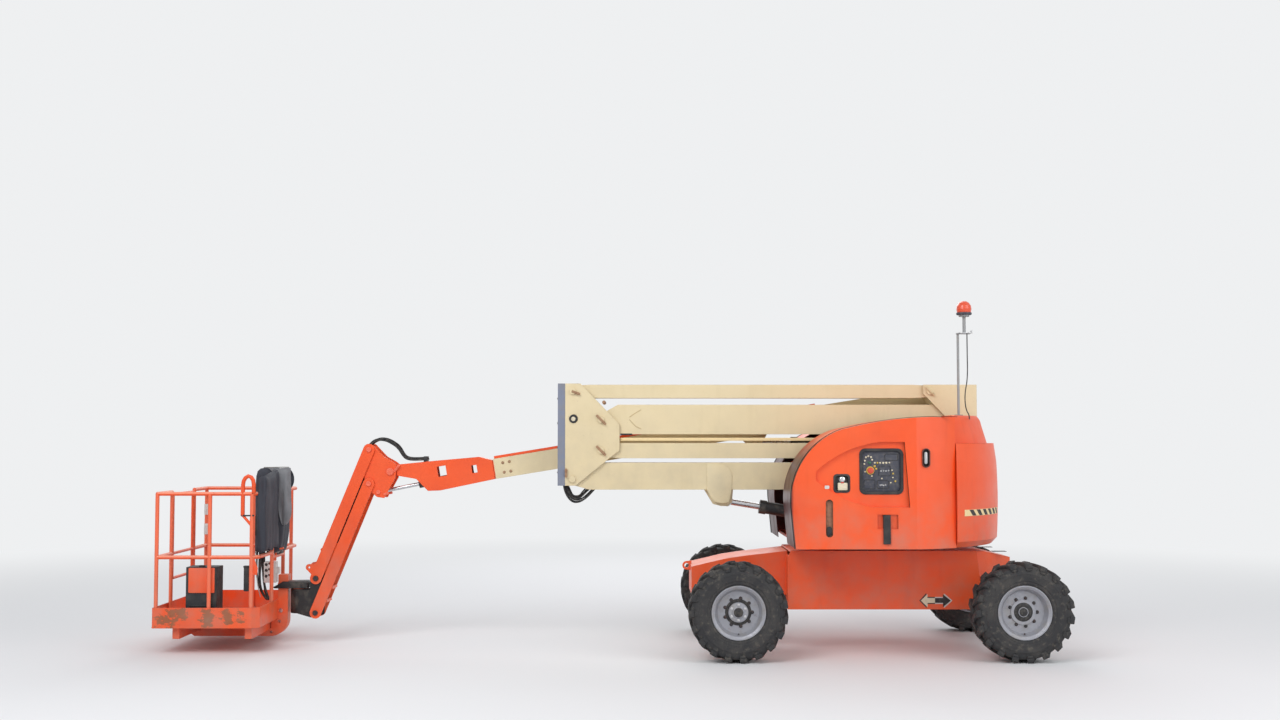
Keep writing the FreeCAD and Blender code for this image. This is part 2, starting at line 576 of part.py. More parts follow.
floor = pad("deck_plate", "plan", [
    ("-floor_left", "-floor_half + 60"), ("-floor_left + 60", "-floor_half"),
    ("240", "-floor_half"), ("via", "hood_seam - 160", "-sqrt((tail_radius - 100)^2 - (hood_seam - 160)^2)"),
    ("hood_seam - 20", "-sqrt((tail_radius - 100)^2 - (hood_seam - 20)^2)"),
    ("hood_seam - 20", "sqrt((tail_radius - 100)^2 - (hood_seam - 20)^2)"),
    ("via", "hood_seam - 160", "sqrt((tail_radius - 100)^2 - (hood_seam - 160)^2)"), ("240", "floor_half"),
    ("-floor_left + 60", "floor_half"), ("-floor_left", "floor_half - 60"),
], ("turntable_z", "deck_z"), [("0", "0", "ring_bore - 40")])
HINGE_SPOTS = (("hood_seam - 100", "right"), ("hood_seam - 260", "left"))
bulkheads = []
for side, name in ((-1, "near"), (1, "far")):
    span = (("-channel_half - bulkhead_wall", "-channel_half") if side < 0 else
            ("channel_half", "channel_half + bulkhead_wall"))
    bulkheads.append(pad(f"bulkhead_{name}", "side", [
        ("-floor_left", "deck_z - 1"), ("hood_seam - 20", "deck_z - 1"),
        ("hood_seam - 20", "hood_top - 40"), ("-240", "hood_top - 110"),
        ("-floor_left + 30", "hood_top - 420"),
    ], span))
    ledge = (("-channel_half - hood_gap - 40", "-channel_half") if side < 0 else
             ("channel_half", "channel_half + hood_gap + 40"))
    for spot, word in HINGE_SPOTS:
        bulkheads.append(box(f"ledge_{name}_{word}", (spot, f"{spot} + hinge_long"), ledge,
                             ("hood_top - 75", "hood_top - hinge_drop - hinge_radius - axle_seat")))
cheek = [
    ("lower_pin_x - 240", "deck_z - 1"), ("low_link_x + 130", "deck_z - 1"),
    ("low_link_x + 95", "low_link_z + 20"), ("low_link_x + 50", "low_link_z + 88"),
    ("low_link_x - 60", "low_link_z + 70"), ("lower_pin_x - 70", "lower_pin_z + 60"),
    ("lower_pin_x - 90", "lower_pin_z - 40"),
]
cheeks = [
    pad("cheek_near", "side", cheek, ("tower_near", "tower_near + plate")),
    pad("cheek_far", "side", cheek, ("tower_far - plate", "tower_far")),
    rod("cheek_pin_low", "y", "pin_radius", ("tower_near - pin_head", "tower_far + pin_head"),
        "lower_pin_x", 0, "lower_pin_z"),
    rod("cheek_pin_high", "y", "pin_radius", ("tower_near - pin_head", "tower_far + pin_head"),
        "low_link_x", 0, "low_link_z"),
    box("cheek_back", ("low_link_x + 116", "low_link_x + 128"), ("tower_near", "tower_far"),
        ("deck_z - 1", "lower_pin_z")),
]
base_plates = [pad(f"tower_base_{name}", "side", [
    ("tower_base_x - 110", "deck_z - 1"), ("tower_base_x + 110", "deck_z - 1"),
    ("tower_base_x + 50", "tower_base_z + 32"), ("via", "tower_base_x", "tower_base_z + 54"),
    ("tower_base_x - 50", "tower_base_z + 32"),
], span) for name, span in (("near", ("tower_y - 74", "tower_y - 62")),
                            ("far", ("tower_y + 62", "tower_y + 74")))]
base_plates.append(rod("tower_base_pin", "y", "ram_pin", ("tower_y - 80", "tower_y + 80"),
                       "tower_base_x", 0, "tower_base_z"))
tail = box("tail_plate", ("hood_seam - 21", "weight_left - axle_seat"),
           ("-channel_half", "channel_half"), ("turntable_z", "deck_z"))
stand = box("panel_stand", ("-20", "20"), ("-hood_half + 60", "-hood_half + 100"),
            ("deck_z - 1", "panel_low - 20 - axle_seat"))
buffers = []
for side, name in ((-1, "near"), (1, "far")):
    reach = "hood_half - hood_wall - axle_seat"
    span = ((f"-({reach})", "-floor_half + 1") if side < 0 else ("floor_half - 1", reach))
    for spot in ("-300", "180"):
        buffers.append(box(f"buffer_{name}_{len(buffers)}", (spot, f"{spot} + 60"), span,
                           ("turntable_z", "turntable_z + 20")))
node("turntable_frame", fuse("turntable_all", floor, tail, stand, *bulkheads, *cheeks, *base_plates,
                             *buffers))

round_body = turned("weight_turn", "side", [
    ("0", "turntable_z"), ("tail_radius - 22", "turntable_z"), ("tail_radius + 24", "turntable_z + 50"),
    ("via", "tail_radius + weight_bulge", "(turntable_z + weight_top) / 2 - 60"),
    ("tail_radius + 26", "weight_top - 160"), ("tail_radius + 4", "weight_top"), ("0", "weight_top"),
], "V_Axis")
weight_plan = pad("weight_plan", "plan", [
    ("hood_seam", "-1100"), ("1400", "-1100"), ("1400", "1100"), ("hood_seam", "1100"),
    ("hood_seam", "channel_half + 12"), ("weight_left", "channel_half + 12"),
    ("weight_left", "-channel_half - 12"), ("hood_seam", "-channel_half - 12"),
], ("turntable_z - 10", "weight_top + 10"))
weight = common("weight_block", round_body, weight_plan)
pockets = [pad(f"weight_pocket_{name}", "plan", square("hood_seam + 30", "hood_seam + 300", low, high),
               ("deck_z + 300", "weight_top + 20"))
           for name, low, high in (("near", "-channel_half - 250", "-channel_half - 60"),
                                   ("far", "channel_half + 60", "channel_half + 250"))]
node("counterweight", cut("counterweight_all", weight, *pockets))


def cover_turn(name, drop):
    return turned(name, "side", [
        ("0", "weight_top + axle_seat"), (f"tail_radius - 44 - {drop}", "weight_top + axle_seat"),
        (f"tail_radius - 91 - {drop}", f"cover_top - 73 - {drop} / 2"),
        ("via", f"tail_radius - 104 - {drop}", f"cover_top - 32 - {drop}"),
        (f"tail_radius - 130 - {drop}", f"cover_top - {drop}"), ("0", f"cover_top - {drop}"),
    ], "V_Axis")


covers = []
for side, name in ((-1, "near"), (1, "far")):
    low, high = (("-1100", "-channel_half - 12") if side < 0 else ("channel_half + 12", "1100"))
    in_low, in_high = (("-1100", "-channel_half - 12 - hood_wall") if side < 0 else
                       ("channel_half + 12 + hood_wall", "1100"))
    outer = common(f"cover_{name}_outer", cover_turn(f"cover_{name}_skin", "0"),
                   pad(f"cover_{name}_plan", "plan", square("hood_seam", "1400", low, high),
                       ("weight_top", "cover_top + 10")))
    inner = common(f"cover_{name}_inner", cover_turn(f"cover_{name}_core", "hood_wall"),
                   pad(f"cover_{name}_hollow", "plan",
                       square("hood_seam + hood_wall", "1400", in_low, in_high),
                       ("weight_top - 10", "cover_top + 10")))
    covers.append(cut(f"cover_{name}", outer, inner))
node("rear_covers", group("rear_covers_all", *covers))


def hood_block(name, side, inset, bottom):
    """The hood's side outline seen with its plan outline, both drawn in by the same inset."""
    outer_y, inner_y = f"hood_half - {inset}", "channel_half + hood_gap"
    if inset != "0":
        inner_y = "channel_half"
    span = (f"-({outer_y})", f"-({inner_y})") if side < 0 else (inner_y, outer_y)
    side_pad = pad(name + "_side", "side", [
        (f"-hood_front + 33 + {inset}", bottom), (f"hood_seam - seam_gap - {inset}", bottom),
        (f"hood_seam - seam_gap - {inset}", f"hood_top - {inset}"),
        ("via", "60", f"hood_top - 26 - {inset}"), ("-324", f"hood_top - 103 - {inset}"),
        ("via", f"-628 + {inset} * 0.7", f"hood_top - 330 - {inset} * 0.7"),
        (f"-hood_front + {inset}", "hood_top - 741"),
    ], span)
    plan = [
        (f"-hood_front - 10 + {inset}", times(side, inner_y)),
        (f"-hood_front - 10 + {inset}", times(side, f"{outer_y} - 70")),
        ("via", f"-hood_front + 10 + {inset}", times(side, f"{outer_y} - 21")),
        (f"-hood_front + 60 + {inset}", times(side, outer_y)),
        ("300", times(side, outer_y)),
        ("via", "500", times(side, f"sqrt((tail_radius - {inset})^2 - 500^2)")),
        (f"hood_seam - seam_gap - {inset}",
         times(side, f"sqrt((tail_radius - {inset})^2 - (hood_seam - seam_gap - {inset})^2)")),
        (f"hood_seam - seam_gap - {inset}", times(side, inner_y)),
    ]
    plan_pad = pad(name + "_plan", "plan", plan, (f"{bottom} - 10", "hood_top + 10"))
    return common(name, side_pad, plan_pad)


def recess_outline(grow):
    """The moulded hollow round the ground controls, a leaf shape that runs out towards the front."""
    return [
        (f"200 + {grow}", f"hood_top - 207 + {grow}"), ("4", f"hood_top - 207 + {grow}"),
        ("via", f"-200 - {grow} / 2", f"hood_top - 250 + {grow}"),
        (f"-543 - {grow}", f"hood_top - 454 + {grow}"), (f"-543 - {grow}", f"hood_top - 527 - {grow}"),
        ("via", f"-330 - {grow} / 2", f"hood_top - 666 - {grow}"), ("-55", f"hood_top - 752 - {grow}"),
        (f"242 + {grow}", f"hood_top - 752 - {grow}"),
    ]


def slot_outline(x, low, high, half):
    """An upright slot with round ends."""
    return [
        (f"{x} - {half}", f"{low} + {half}"), ("via", x, low), (f"{x} + {half}", f"{low} + {half}"),
        (f"{x} + {half}", f"{high} - {half}"), ("via", x, high), (f"{x} - {half}", f"{high} - {half}"),
    ]


def outward(side, deep, past):
    """The span of a cut or pan in a hood's side, from a depth under its face to past that face."""
    near, far = f"hood_half - ({deep})", f"hood_half + ({past})"
    return (f"-({far})", f"-({near})") if side < 0 else (near, far)


SLOTS = (
    # Columns: name, middle along X, low and high edges, half width
    ("grip", "380", "hood_top - 416", "hood_top - 262", "slot_half"),
    ("vent", "-432", "hood_top - 1000", "hood_top - 686", "slot_half"),
)
LATCH_X = ("-31", "141")
LATCH_Z = ("hood_top - 931", "hood_top - 812")
for side, name in ((-1, "near"), (1, "far")):
    skin = hood_block(f"hood_{name}_skin", side, "0", "hood_sill")
    core = hood_block(f"hood_{name}_core", side, "hood_wall", "hood_sill - 20")
    pans = [box(f"hood_{name}_latch_pan", (f"{LATCH_X[0]} - hood_wall", f"{LATCH_X[1]} + hood_wall"),
                outward(side, "latch_deep + hood_wall", "-1"),
                (f"{LATCH_Z[0]} - hood_wall", f"{LATCH_Z[1]} + hood_wall"))]
    tools = [box(f"hood_{name}_latch_well", LATCH_X, outward(side, "latch_deep", "20"), LATCH_Z)]
    for word, x, low, high, half in SLOTS:
        tools.append(pad(f"hood_{name}_{word}", "side", slot_outline(x, low, high, half),
                         outward(side, "60", "20")))
    if side < 0:
        pans.append(pad("recess_pan", "side", recess_outline("hood_wall"),
                        outward(side, "recess_deep + hood_wall", "-1")))
        tools.append(pad("recess_hollow", "side", recess_outline("0"), outward(side, "recess_deep", "20")))
        tools.append(box("panel_window", ("panel_left", "panel_right"), outward(side, "60", "20"),
                         ("panel_low", "panel_high")))
        tools.append(box("switch_window", ("-386", "-261"), outward(side, "60", "20"),
                         ("panel_low + 8", "panel_low + 149")))
    hinges = [rod(f"hood_{name}_hinge_{word}", "x", "hinge_radius", (spot, f"{spot} + hinge_long"), 0,
                  times(side, "(channel_half + hood_gap)"), "hood_top - hinge_drop")
              for spot, word in HINGE_SPOTS]
    shell_all = fuse(f"hood_{name}_shell", cut(f"hood_{name}_hollow", skin, core), *pans)
    node(f"hood_{name}", fuse(f"hood_{name}_all", cut(f"hood_{name}_pierced", shell_all, *tools), *hinges))
    bar_x = ("16", "76")
    low_z = f"{LATCH_Z[0]} - 125"
    latch = [
        box(f"latch_{name}_bar", bar_x, outward(side, "-axle_seat", "14"), (low_z, f"{LATCH_Z[1]} - 3")),
        box(f"latch_{name}_root", bar_x, outward(side, "latch_deep - axle_seat", "1"),
            (f"{LATCH_Z[0]} + 3", f"{LATCH_Z[1]} - 3")),
    ]
    node(f"hood_latch_{name}", fuse(f"latch_{name}_all", *latch))

node("control_panel", box("control_box", ("panel_left - 20", "panel_right + 20"),
                          ("-hood_half + recess_deep + hood_wall + 5", "-hood_half + 160"),
                          ("panel_low - 20", "panel_high + 20")))
node("engine_block", box("engine_box", ("-engine_long / 2 - 40", "engine_long / 2 - 40"),
                         ("channel_half + 90", "hood_half - engine_side"),
                         ("deck_z + axle_seat", "deck_z + engine_tall")))
node("hydraulic_tank", box("tank_box", ("-tank_long / 2", "tank_long / 2"),
                           ("-hood_half + tank_side", "-channel_half - 60"),
                           ("deck_z + axle_seat", "deck_z + tank_tall")))
mast = rod("mast_bar", "z", "mast_radius", ("cover_top + axle_seat", "mast_top"), "mast_x", "mast_y")
foot = box("mast_foot", ("mast_x - 30", "mast_x + 30"), ("mast_y - 30", "mast_y + 30"),
           ("cover_top + axle_seat", "cover_top + 8"))
shelf = box("mast_shelf", ("mast_x - 14", "mast_x + beacon_shift + 50"), ("mast_y - 14", "mast_y + 14"),
            ("mast_top", "mast_top + 6"))
lamp_low = "beacon_top - beacon_tall"
stem = rod("lamp_stem", "z", "stem_radius", ("mast_top + 1", f"{lamp_low} - 14"), "mast_x + beacon_shift",
           "mast_y")
socket = rod("lamp_socket", "z", "beacon_radius - 20", (f"{lamp_low} - 16", f"{lamp_low} - axle_seat"),
             "mast_x + beacon_shift", "mast_y")
node("beacon_mast", fuse("beacon_mast_all", mast, foot, shelf, stem, socket))
lamp = turned("lamp_turn", "side", [
    ("0", lamp_low), ("beacon_radius - 17", lamp_low), ("beacon_radius - 6", f"{lamp_low} + 20"),
    ("beacon_radius", f"{lamp_low} + 50"), ("beacon_radius - 5", f"{lamp_low} + 80"),
    ("beacon_radius - 22", f"{lamp_low} + 106"), ("beacon_radius - 42", "beacon_top"), ("0", "beacon_top"),
], "V_Axis")
node("beacon", place(lamp, "mast_x + beacon_shift", "mast_y", 0))

# Tower

Y_IN = ("tower_y - link_half", "tower_y + link_half")


def link_bar(name, left_x, z, up, down, open_side=""):
    """A hollow bar between two pins, with round ends; the open side's bore has extra clearance."""
    right_x = f"{left_x} + link_long"
    outer = pad(name + "_outer", "side", [
        (left_x, f"{z} - eye_round"), (f"{left_x} + 150", f"{z} - {down}"),
        (f"{right_x} - 150", f"{z} - {down}"), (right_x, f"{z} - eye_round"),
        ("via", f"{right_x} + eye_round", z), (right_x, f"{z} + eye_round"),
        (f"{right_x} - 150", f"{z} + {up}"), (f"{left_x} + 150", f"{z} + {up}"),
        (left_x, f"{z} + eye_round"), ("via", f"{left_x} - eye_round", z),
    ], Y_IN)
    hollow = box(name + "_hollow", (f"{left_x} + 170", f"{right_x} - 170"),
                 ("tower_y - link_half + tube_wall", "tower_y + link_half - tube_wall"),
                 (f"{z} - {down} + tube_wall", f"{z} + {up} - tube_wall"))
    bores = []
    for end, x in (("left", left_x), ("right", right_x)):
        slack = "open_gap" if end == open_side else "pin_gap"
        bores.append(rod(f"{name}_bore_{end}", "y", f"pin_radius + {slack}",
                         ("tower_near - 20", "tower_far + 20"), x, 0, z))
    return cut(name, outer, hollow, *bores)


def ears(name, outline, middle, inner, outer, x, z):
    """Two lug plates either side of a ram's eye, each with a pin head on its outer face."""
    made = []
    for side, word in ((-1, "near"), (1, "far")):
        span = ((f"{middle} - {outer}", f"{middle} - {inner}") if side < 0 else
                (f"{middle} + {inner}", f"{middle} + {outer}"))
        made.append(pad(f"{name}_{word}", "side", outline, span))
        head = ((f"{middle} - {outer} - pin_head", f"{middle} - {outer} + 1") if side < 0 else
                (f"{middle} + {outer} - 1", f"{middle} + {outer} + pin_head"))
        made.append(rod(f"{name}_head_{word}", "y", "ram_pin", head, x, 0, z))
    return made


lower = link_bar("lower_bar", "tower_left_x", "lower_pin_z", "lower_boom_up", "lower_boom_down")
tower_ears = ears("tower_ear", [
    ("tower_eye_x - 205", "lower_pin_z - lower_boom_down + 1"),
    ("tower_eye_x - 125", "tower_eye_z - 24"), ("tower_eye_x - 54", "tower_eye_z - 42"),
    ("tower_eye_x + 9", "tower_eye_z - 42"), ("tower_eye_x + 45", "tower_eye_z - 6"),
    ("tower_eye_x + 54", "lower_pin_z - lower_boom_down + 1"),
], "tower_y", "(ram_half + 5)", "(ram_half + 17)", "tower_eye_x", "tower_eye_z")
node("lower_boom", fuse("lower_boom_all", lower, *tower_ears))
node("lower_link", link_bar("lower_link_bar", "tower_left_x + pin_step", "low_link_z",
                            "low_link_half_tall", "low_link_half_tall", "left"))
node("mid_boom", link_bar("mid_bar", "tower_left_x + pin_step", "mid_pin_z", "mid_boom_up",
                          "mid_boom_down"))
node("top_link", link_bar("top_link_bar", "tower_left_x", "top_pin_z", "top_link_half_tall",
                          "top_link_half_tall", "right"))

front_plate = [
    ("tower_left_x - upright_margin", "lower_pin_z - 57"), ("tower_left_x + 28", "lower_pin_z - 57"),
    ("tower_left_x + pin_step + 165", "low_link_z + 4"),
    ("tower_left_x + pin_step + 165", "mid_pin_z - 40"), ("tower_left_x + 70", "top_pin_z + 70"),
    ("tower_left_x - upright_margin", "top_pin_z + 70"),
]
PINS = (
    # Columns: name, x, z
    ("low", "tower_left_x", "lower_pin_z"), ("low_link", "tower_left_x + pin_step", "low_link_z"),
    ("mid", "tower_left_x + pin_step", "mid_pin_z"), ("top", "tower_left_x", "top_pin_z"),
)
front = [
    pad("front_near", "side", front_plate, ("tower_near", "tower_near + plate"),
        [("tower_left_x + 10", "mid_pin_z + 10", "38")]),
    pad("front_far", "side", front_plate, ("tower_far - plate", "tower_far")),
    box("front_web", ("tower_left_x - upright_margin", "tower_left_x - upright_margin + upright_web"),
        ("tower_near", "tower_far"), ("lower_pin_z - 57", "top_pin_z + 70")),
    rod("front_tie", "y", "40", ("tower_near + 2", "tower_far - 2"), "tower_left_x + 90", 0,
        "(mid_pin_z + low_link_z) / 2"),
]
for word, x, z in PINS:
    front.append(rod(f"front_pin_{word}", "y", "pin_radius",
                     ("tower_near - pin_head", "tower_far + pin_head"), x, 0, z))
node("front_upright", fuse("front_upright_all", *front))

guard_back = "tower_left_x - upright_margin - axle_seat"
guard = cut("guard_all", box("guard_outer", (f"{guard_back} - guard_deep", guard_back),
                             ("tower_near", "tower_far"), ("lower_pin_z - 57", "top_pin_z + 70")),
            box("guard_inner", (f"{guard_back} - guard_deep + guard_wall", f"{guard_back} + 10"),
                ("tower_near + guard_wall", "tower_far - guard_wall"),
                ("lower_pin_z - 80", "top_pin_z + 100")))
node("hose_guard", guard)

BOOM_NEAR_PLATE = ("boom_y - boom_half - 20", "boom_y - boom_half - 8")
BOOM_FAR_PLATE = ("boom_y + boom_half + 8", "boom_y + boom_half + 20")
rear_tower_plate = [
    ("low_link_x - 70", "mid_pin_z - 75"), ("low_link_x + upright_right", "mid_pin_z - 75"),
    ("low_link_x + upright_right", "top_pin_z + 60"), ("lower_pin_x - 62", "top_pin_z + 60"),
    ("lower_pin_x - 62", "top_pin_z - 20"), ("low_link_x - 130", "mid_pin_z + 40"),
]
rear_boom_plate = [
    ("main_base_x - 66", "main_base_z - 56"), ("low_link_x + upright_right", "main_base_z - 56"),
    ("low_link_x + upright_right", "top_pin_z + 60"), ("main_pin_x - 90", "top_pin_z + 60"),
    ("main_pin_x - 90", "main_pin_z - 160"), ("main_base_x - 66", "main_base_z + 110"),
]
rear = [
    pad("rear_near", "side", rear_tower_plate, ("tower_near", "tower_near + plate")),
    pad("rear_mid", "side", rear_tower_plate, ("tower_far - plate", "tower_far")),
    pad("rear_boom_near", "side", rear_boom_plate, BOOM_NEAR_PLATE),
    pad("rear_boom_far", "side", rear_boom_plate, BOOM_FAR_PLATE),
    box("rear_web", ("low_link_x + upright_right - 10", "low_link_x + upright_right + 2"),
        ("tower_near", BOOM_FAR_PLATE[1]), ("mid_pin_z - 75", "top_pin_z + 60")),
    box("rear_web_low", ("low_link_x + upright_right - 10", "low_link_x + upright_right + 2"),
        (BOOM_NEAR_PLATE[0], BOOM_FAR_PLATE[1]), ("main_base_z - 56", "mid_pin_z")),
    rod("rear_pin_mid", "y", "pin_radius", ("tower_near - pin_head", "tower_far + pin_head"),
        "low_link_x", 0, "mid_pin_z"),
    rod("rear_pin_top", "y", "pin_radius", ("tower_near - pin_head", "tower_far + pin_head"),
        "lower_pin_x", 0, "top_pin_z"),
    rod("rear_pin_main", "y", "pin_radius", (BOOM_NEAR_PLATE[0], BOOM_FAR_PLATE[1] + " + pin_head"),
        "main_pin_x", 0, "main_pin_z"),
    rod("rear_pin_ram", "y", "ram_pin", (BOOM_NEAR_PLATE[0], BOOM_FAR_PLATE[1] + " + pin_head"),
        "main_base_x", 0, "main_base_z"),
]
node("rear_upright", fuse("rear_upright_all", *rear))

# Main boom, drawn level about its pivot and then sloped


def slope(thing):
    return place(thing, "main_pin_x", 0, "main_pin_z", "-boom_slope")


BOOM_Y = ("boom_y - boom_half", "boom_y + boom_half")
boom_outer = pad("boom_outer", "side", [
    ("-boom_long", "-boom_down"), ("-330", "-boom_down"), ("-30", "-66"), ("via", "66", "0"),
    ("-30", "66"), ("-330", "boom_up"), ("-boom_long", "boom_up"),
], BOOM_Y)
boom_hollow = box("boom_hollow", ("-boom_long - 10", "-420"),
                  ("boom_y - boom_half + boom_wall", "boom_y + boom_half - boom_wall"),
                  ("-boom_down + boom_wall", "boom_up - boom_wall"))
boom_bore = rod("boom_bore", "y", "pin_radius + pin_gap", ("boom_y - 200", "boom_y + 200"))
main_ears = ears("main_ear", [
    ("-main_eye_u - 120", "-boom_down + 1"), ("-main_eye_u - 44", "-main_eye_drop - 34"),
    ("-main_eye_u + 44", "-main_eye_drop - 34"), ("-main_eye_u + 120", "-boom_down + 1"),
], "boom_y", "(ram_half + 5)", "(ram_half + 15)", "-main_eye_u", "-main_eye_drop")
FLY_IN = "(boom_half - boom_wall - fly_gap)"
FLY_LOW = "(-boom_down + boom_wall + fly_gap)"
FLY_HIGH = "(boom_up - boom_wall - fly_gap)"


def runner(name, left, right, inner, outer):
    """A square ring of slide pads round the fly tube, from one distance off the tube to another."""
    return cut(name, box(f"{name}_outer", (left, right),
                         (f"boom_y - {FLY_IN} - ({outer})", f"boom_y + {FLY_IN} + ({outer})"),
                         (f"{FLY_LOW} - ({outer})", f"{FLY_HIGH} + ({outer})")),
               box(f"{name}_inner", (f"({left}) - 5", f"({right}) + 5"),
                   (f"boom_y - {FLY_IN} - ({inner})", f"boom_y + {FLY_IN} + ({inner})"),
                   (f"{FLY_LOW} - ({inner})", f"{FLY_HIGH} + ({inner})")))


mouth_pads = runner("mouth_pads", "-boom_long", "-boom_long + pad_long", "axle_seat", "fly_gap + 1")
node("main_boom", slope(fuse("main_boom_all", cut("boom_tube", boom_outer, boom_hollow, boom_bore),
                             mouth_pads, *main_ears)))
tray = cut("tray_all", box("tray_outer", ("-boom_long + 10", "-tray_right"),
                           ("boom_y - tray_half", "boom_y + tray_half"),
                           ("boom_up + axle_seat", "boom_up + axle_seat + tray_thick")),
           box("tray_inner", ("-boom_long - 10", "-tray_right + 10"),
               ("boom_y - tray_half + 3", "boom_y + tray_half - 3"),
               ("boom_up - 10", "boom_up + tray_thick - 3")))
node("hose_tray", slope(tray))

tail_pads = runner("tail_pads", "-fly_tail - pad_long", "-fly_tail", "-1", "fly_gap - axle_seat")
fly_tube = box("fly_tube", ("-boom_long - fly_seam - 20", "-fly_tail"),
               (f"boom_y - {FLY_IN}", f"boom_y + {FLY_IN}"), (FLY_LOW, FLY_HIGH))
fly_core = box("fly_core", ("-boom_long - fly_seam + 6", "-fly_tail + 10"),
               (f"boom_y - {FLY_IN} + fly_wall", f"boom_y + {FLY_IN} - fly_wall"),
               (f"{FLY_LOW} + fly_wall", f"{FLY_HIGH} - fly_wall"))
NOSE_Y = ("boom_y - fly_nose_half", "boom_y + fly_nose_half")
U = "-bracket_pin_u"
V = "bracket_pin_v"
nose_outer = pad("nose_outer", "side", [
    (f"{U} + 56", f"{V} - 48"), (f"{U} + 220", f"{V} - 105"), (f"{U} + 310", f"{V} - 230"),
    (f"{U} + 422", f"{V} - 244"), ("-boom_long - fly_seam", "-boom_down"),
    ("-boom_long - fly_seam", "boom_up - 10"), (f"{U} + 814", f"{V} + 2"),
    (f"{U} + 432", f"{V} + 30"), (f"{U} + 56", f"{V} + 54"),
], NOSE_Y)
nose_inner = pad("nose_inner", "side", [
    (f"{U} + 76", f"{V} - 30"), (f"{U} + 216", f"{V} - 125"), (f"{U} + 280", f"{V} - 270"),
    (f"{U} + 390", f"{V} - 260"), (f"{U} + 440", f"{V} - 232"),
    ("-boom_long - fly_seam - 40", "-boom_down + 12"), ("-boom_long - fly_seam - 40", "boom_up - 24"),
    (f"{U} + 810", f"{V} - 12"), (f"{U} + 430", f"{V} + 18"), (f"{U} + 76", f"{V} + 40"),
], ("boom_y - fly_nose_half + fly_nose_wall", "boom_y + fly_nose_half - fly_nose_wall"))
nose_windows = [
    pad("nose_window", "side", square(f"{U} + 423", f"{U} + 503", f"{V} - 118", f"{V} - 26"),
        ("boom_y - 200", "boom_y + 200")),
    pad("nose_slot", "side", square(f"{U} + 735", f"{U} + 783", f"{V} - 136", f"{V} - 66"),
        ("boom_y - 200", "boom_y + 200")),
]
nose_tip = pad("nose_tip", "side", [
    (f"{U} + 90", f"{V} - 46"), (f"{U}", f"{V} - 46"), ("via", f"{U} - 46", V),
    (f"{U}", f"{V} + 46"), (f"{U} + 90", f"{V} + 46"),
], ("boom_y - 60", "boom_y + 60"))
nose_bore = rod("nose_bore", "y", "pin_radius + pin_gap", ("boom_y - 200", "boom_y + 200"), U, 0, V)
level_pin = rod("level_pin", "y", "18", NOSE_Y, "-level_base_u", 0, "level_base_v")
fly = fuse("fly_all", cut("fly_box", fly_tube, fly_core), tail_pads,
           cut("nose_box", fuse("nose_solid", cut("nose_shell", nose_outer, nose_inner, *nose_windows),
                                nose_tip), nose_bore), level_pin)
node("fly_boom", slope(fly))

# Rams

RAMS = (
    # Columns: name, base x and z, eye x and z, middle y, barrel length, where the rod ends inside,
    # scale of the radii
    ("tower_ram", "tower_base_x", "tower_base_z", "tower_eye_x", "tower_eye_z", "tower_y",
     "tower_barrel", "100", "1"),
    ("main_ram", "main_base_x", "main_base_z", "main_eye_x", "main_eye_z", "boom_y", "main_barrel",
     "100", "1"),
    ("jib_ram", "jib_pin_x", "jib_high_z", "head_pin_x", "head_low_z", "boom_y", "jib_barrel",
     "655", "0.72"),
    ("level_ram", "level_base_x", "level_base_z", "level_eye_x", "level_eye_z", "boom_y",
     "level_barrel", "365", "0.62"),
)
PIN_OF = {"tower_ram": "ram_pin", "main_ram": "ram_pin", "jib_ram": "jib_pin_radius", "level_ram": "18"}
for name, base_x, base_z, eye_x, eye_z, middle, barrel_long, inside, scale in RAMS:
    angle = f"atan2({eye_z} - {base_z}; {base_x} - ({eye_x})) / 1deg"
    long = f"sqrt(({eye_z} - {base_z})^2 + ({base_x} - ({eye_x}))^2)"
    half = (f"{middle} - ram_half * {scale}", f"{middle} + ram_half * {scale}")
    pin = PIN_OF[name]
    tube = rod(name + "_tube", "x", f"ram_radius * {scale}", (f"-{barrel_long}", "-ram_eye * 0.6"), y=middle)
    gland = rod(name + "_gland", "x", f"(ram_radius + 7) * {scale}",
                (f"-{barrel_long}", f"-{barrel_long} + 60"), y=middle)
    eye = rod(name + "_base_eye", "y", f"ram_eye * {scale}", half)
    bore = rod(name + "_bore", "x", f"ram_rod * {scale} + pin_gap", (f"-{barrel_long} - 10", "-70"), y=middle)
    hole = rod(name + "_base_hole", "y", f"{pin} + pin_gap", (f"{middle} - 90", f"{middle} + 90"))
    node(name + "_barrel", place(cut(name + "_barrel_all", fuse(name + "_solid", tube, gland, eye),
                                     bore, hole), base_x, 0, base_z, angle))
    shaft = rod(name + "_shaft", "x", f"ram_rod * {scale}", (f"-{long}", f"-{inside}"), y=middle)
    tip = rod(name + "_tip", "y", f"ram_eye * {scale}", half, f"-{long}")
    tip_hole = rod(name + "_tip_hole", "y", f"{pin} + pin_gap", (f"{middle} - 90", f"{middle} + 90"),
                   f"-{long}")
    node(name + "_rod", place(cut(name + "_rod_all", fuse(name + "_rod_solid", shaft, tip), tip_hole),
                              base_x, 0, base_z, angle))

# Jib

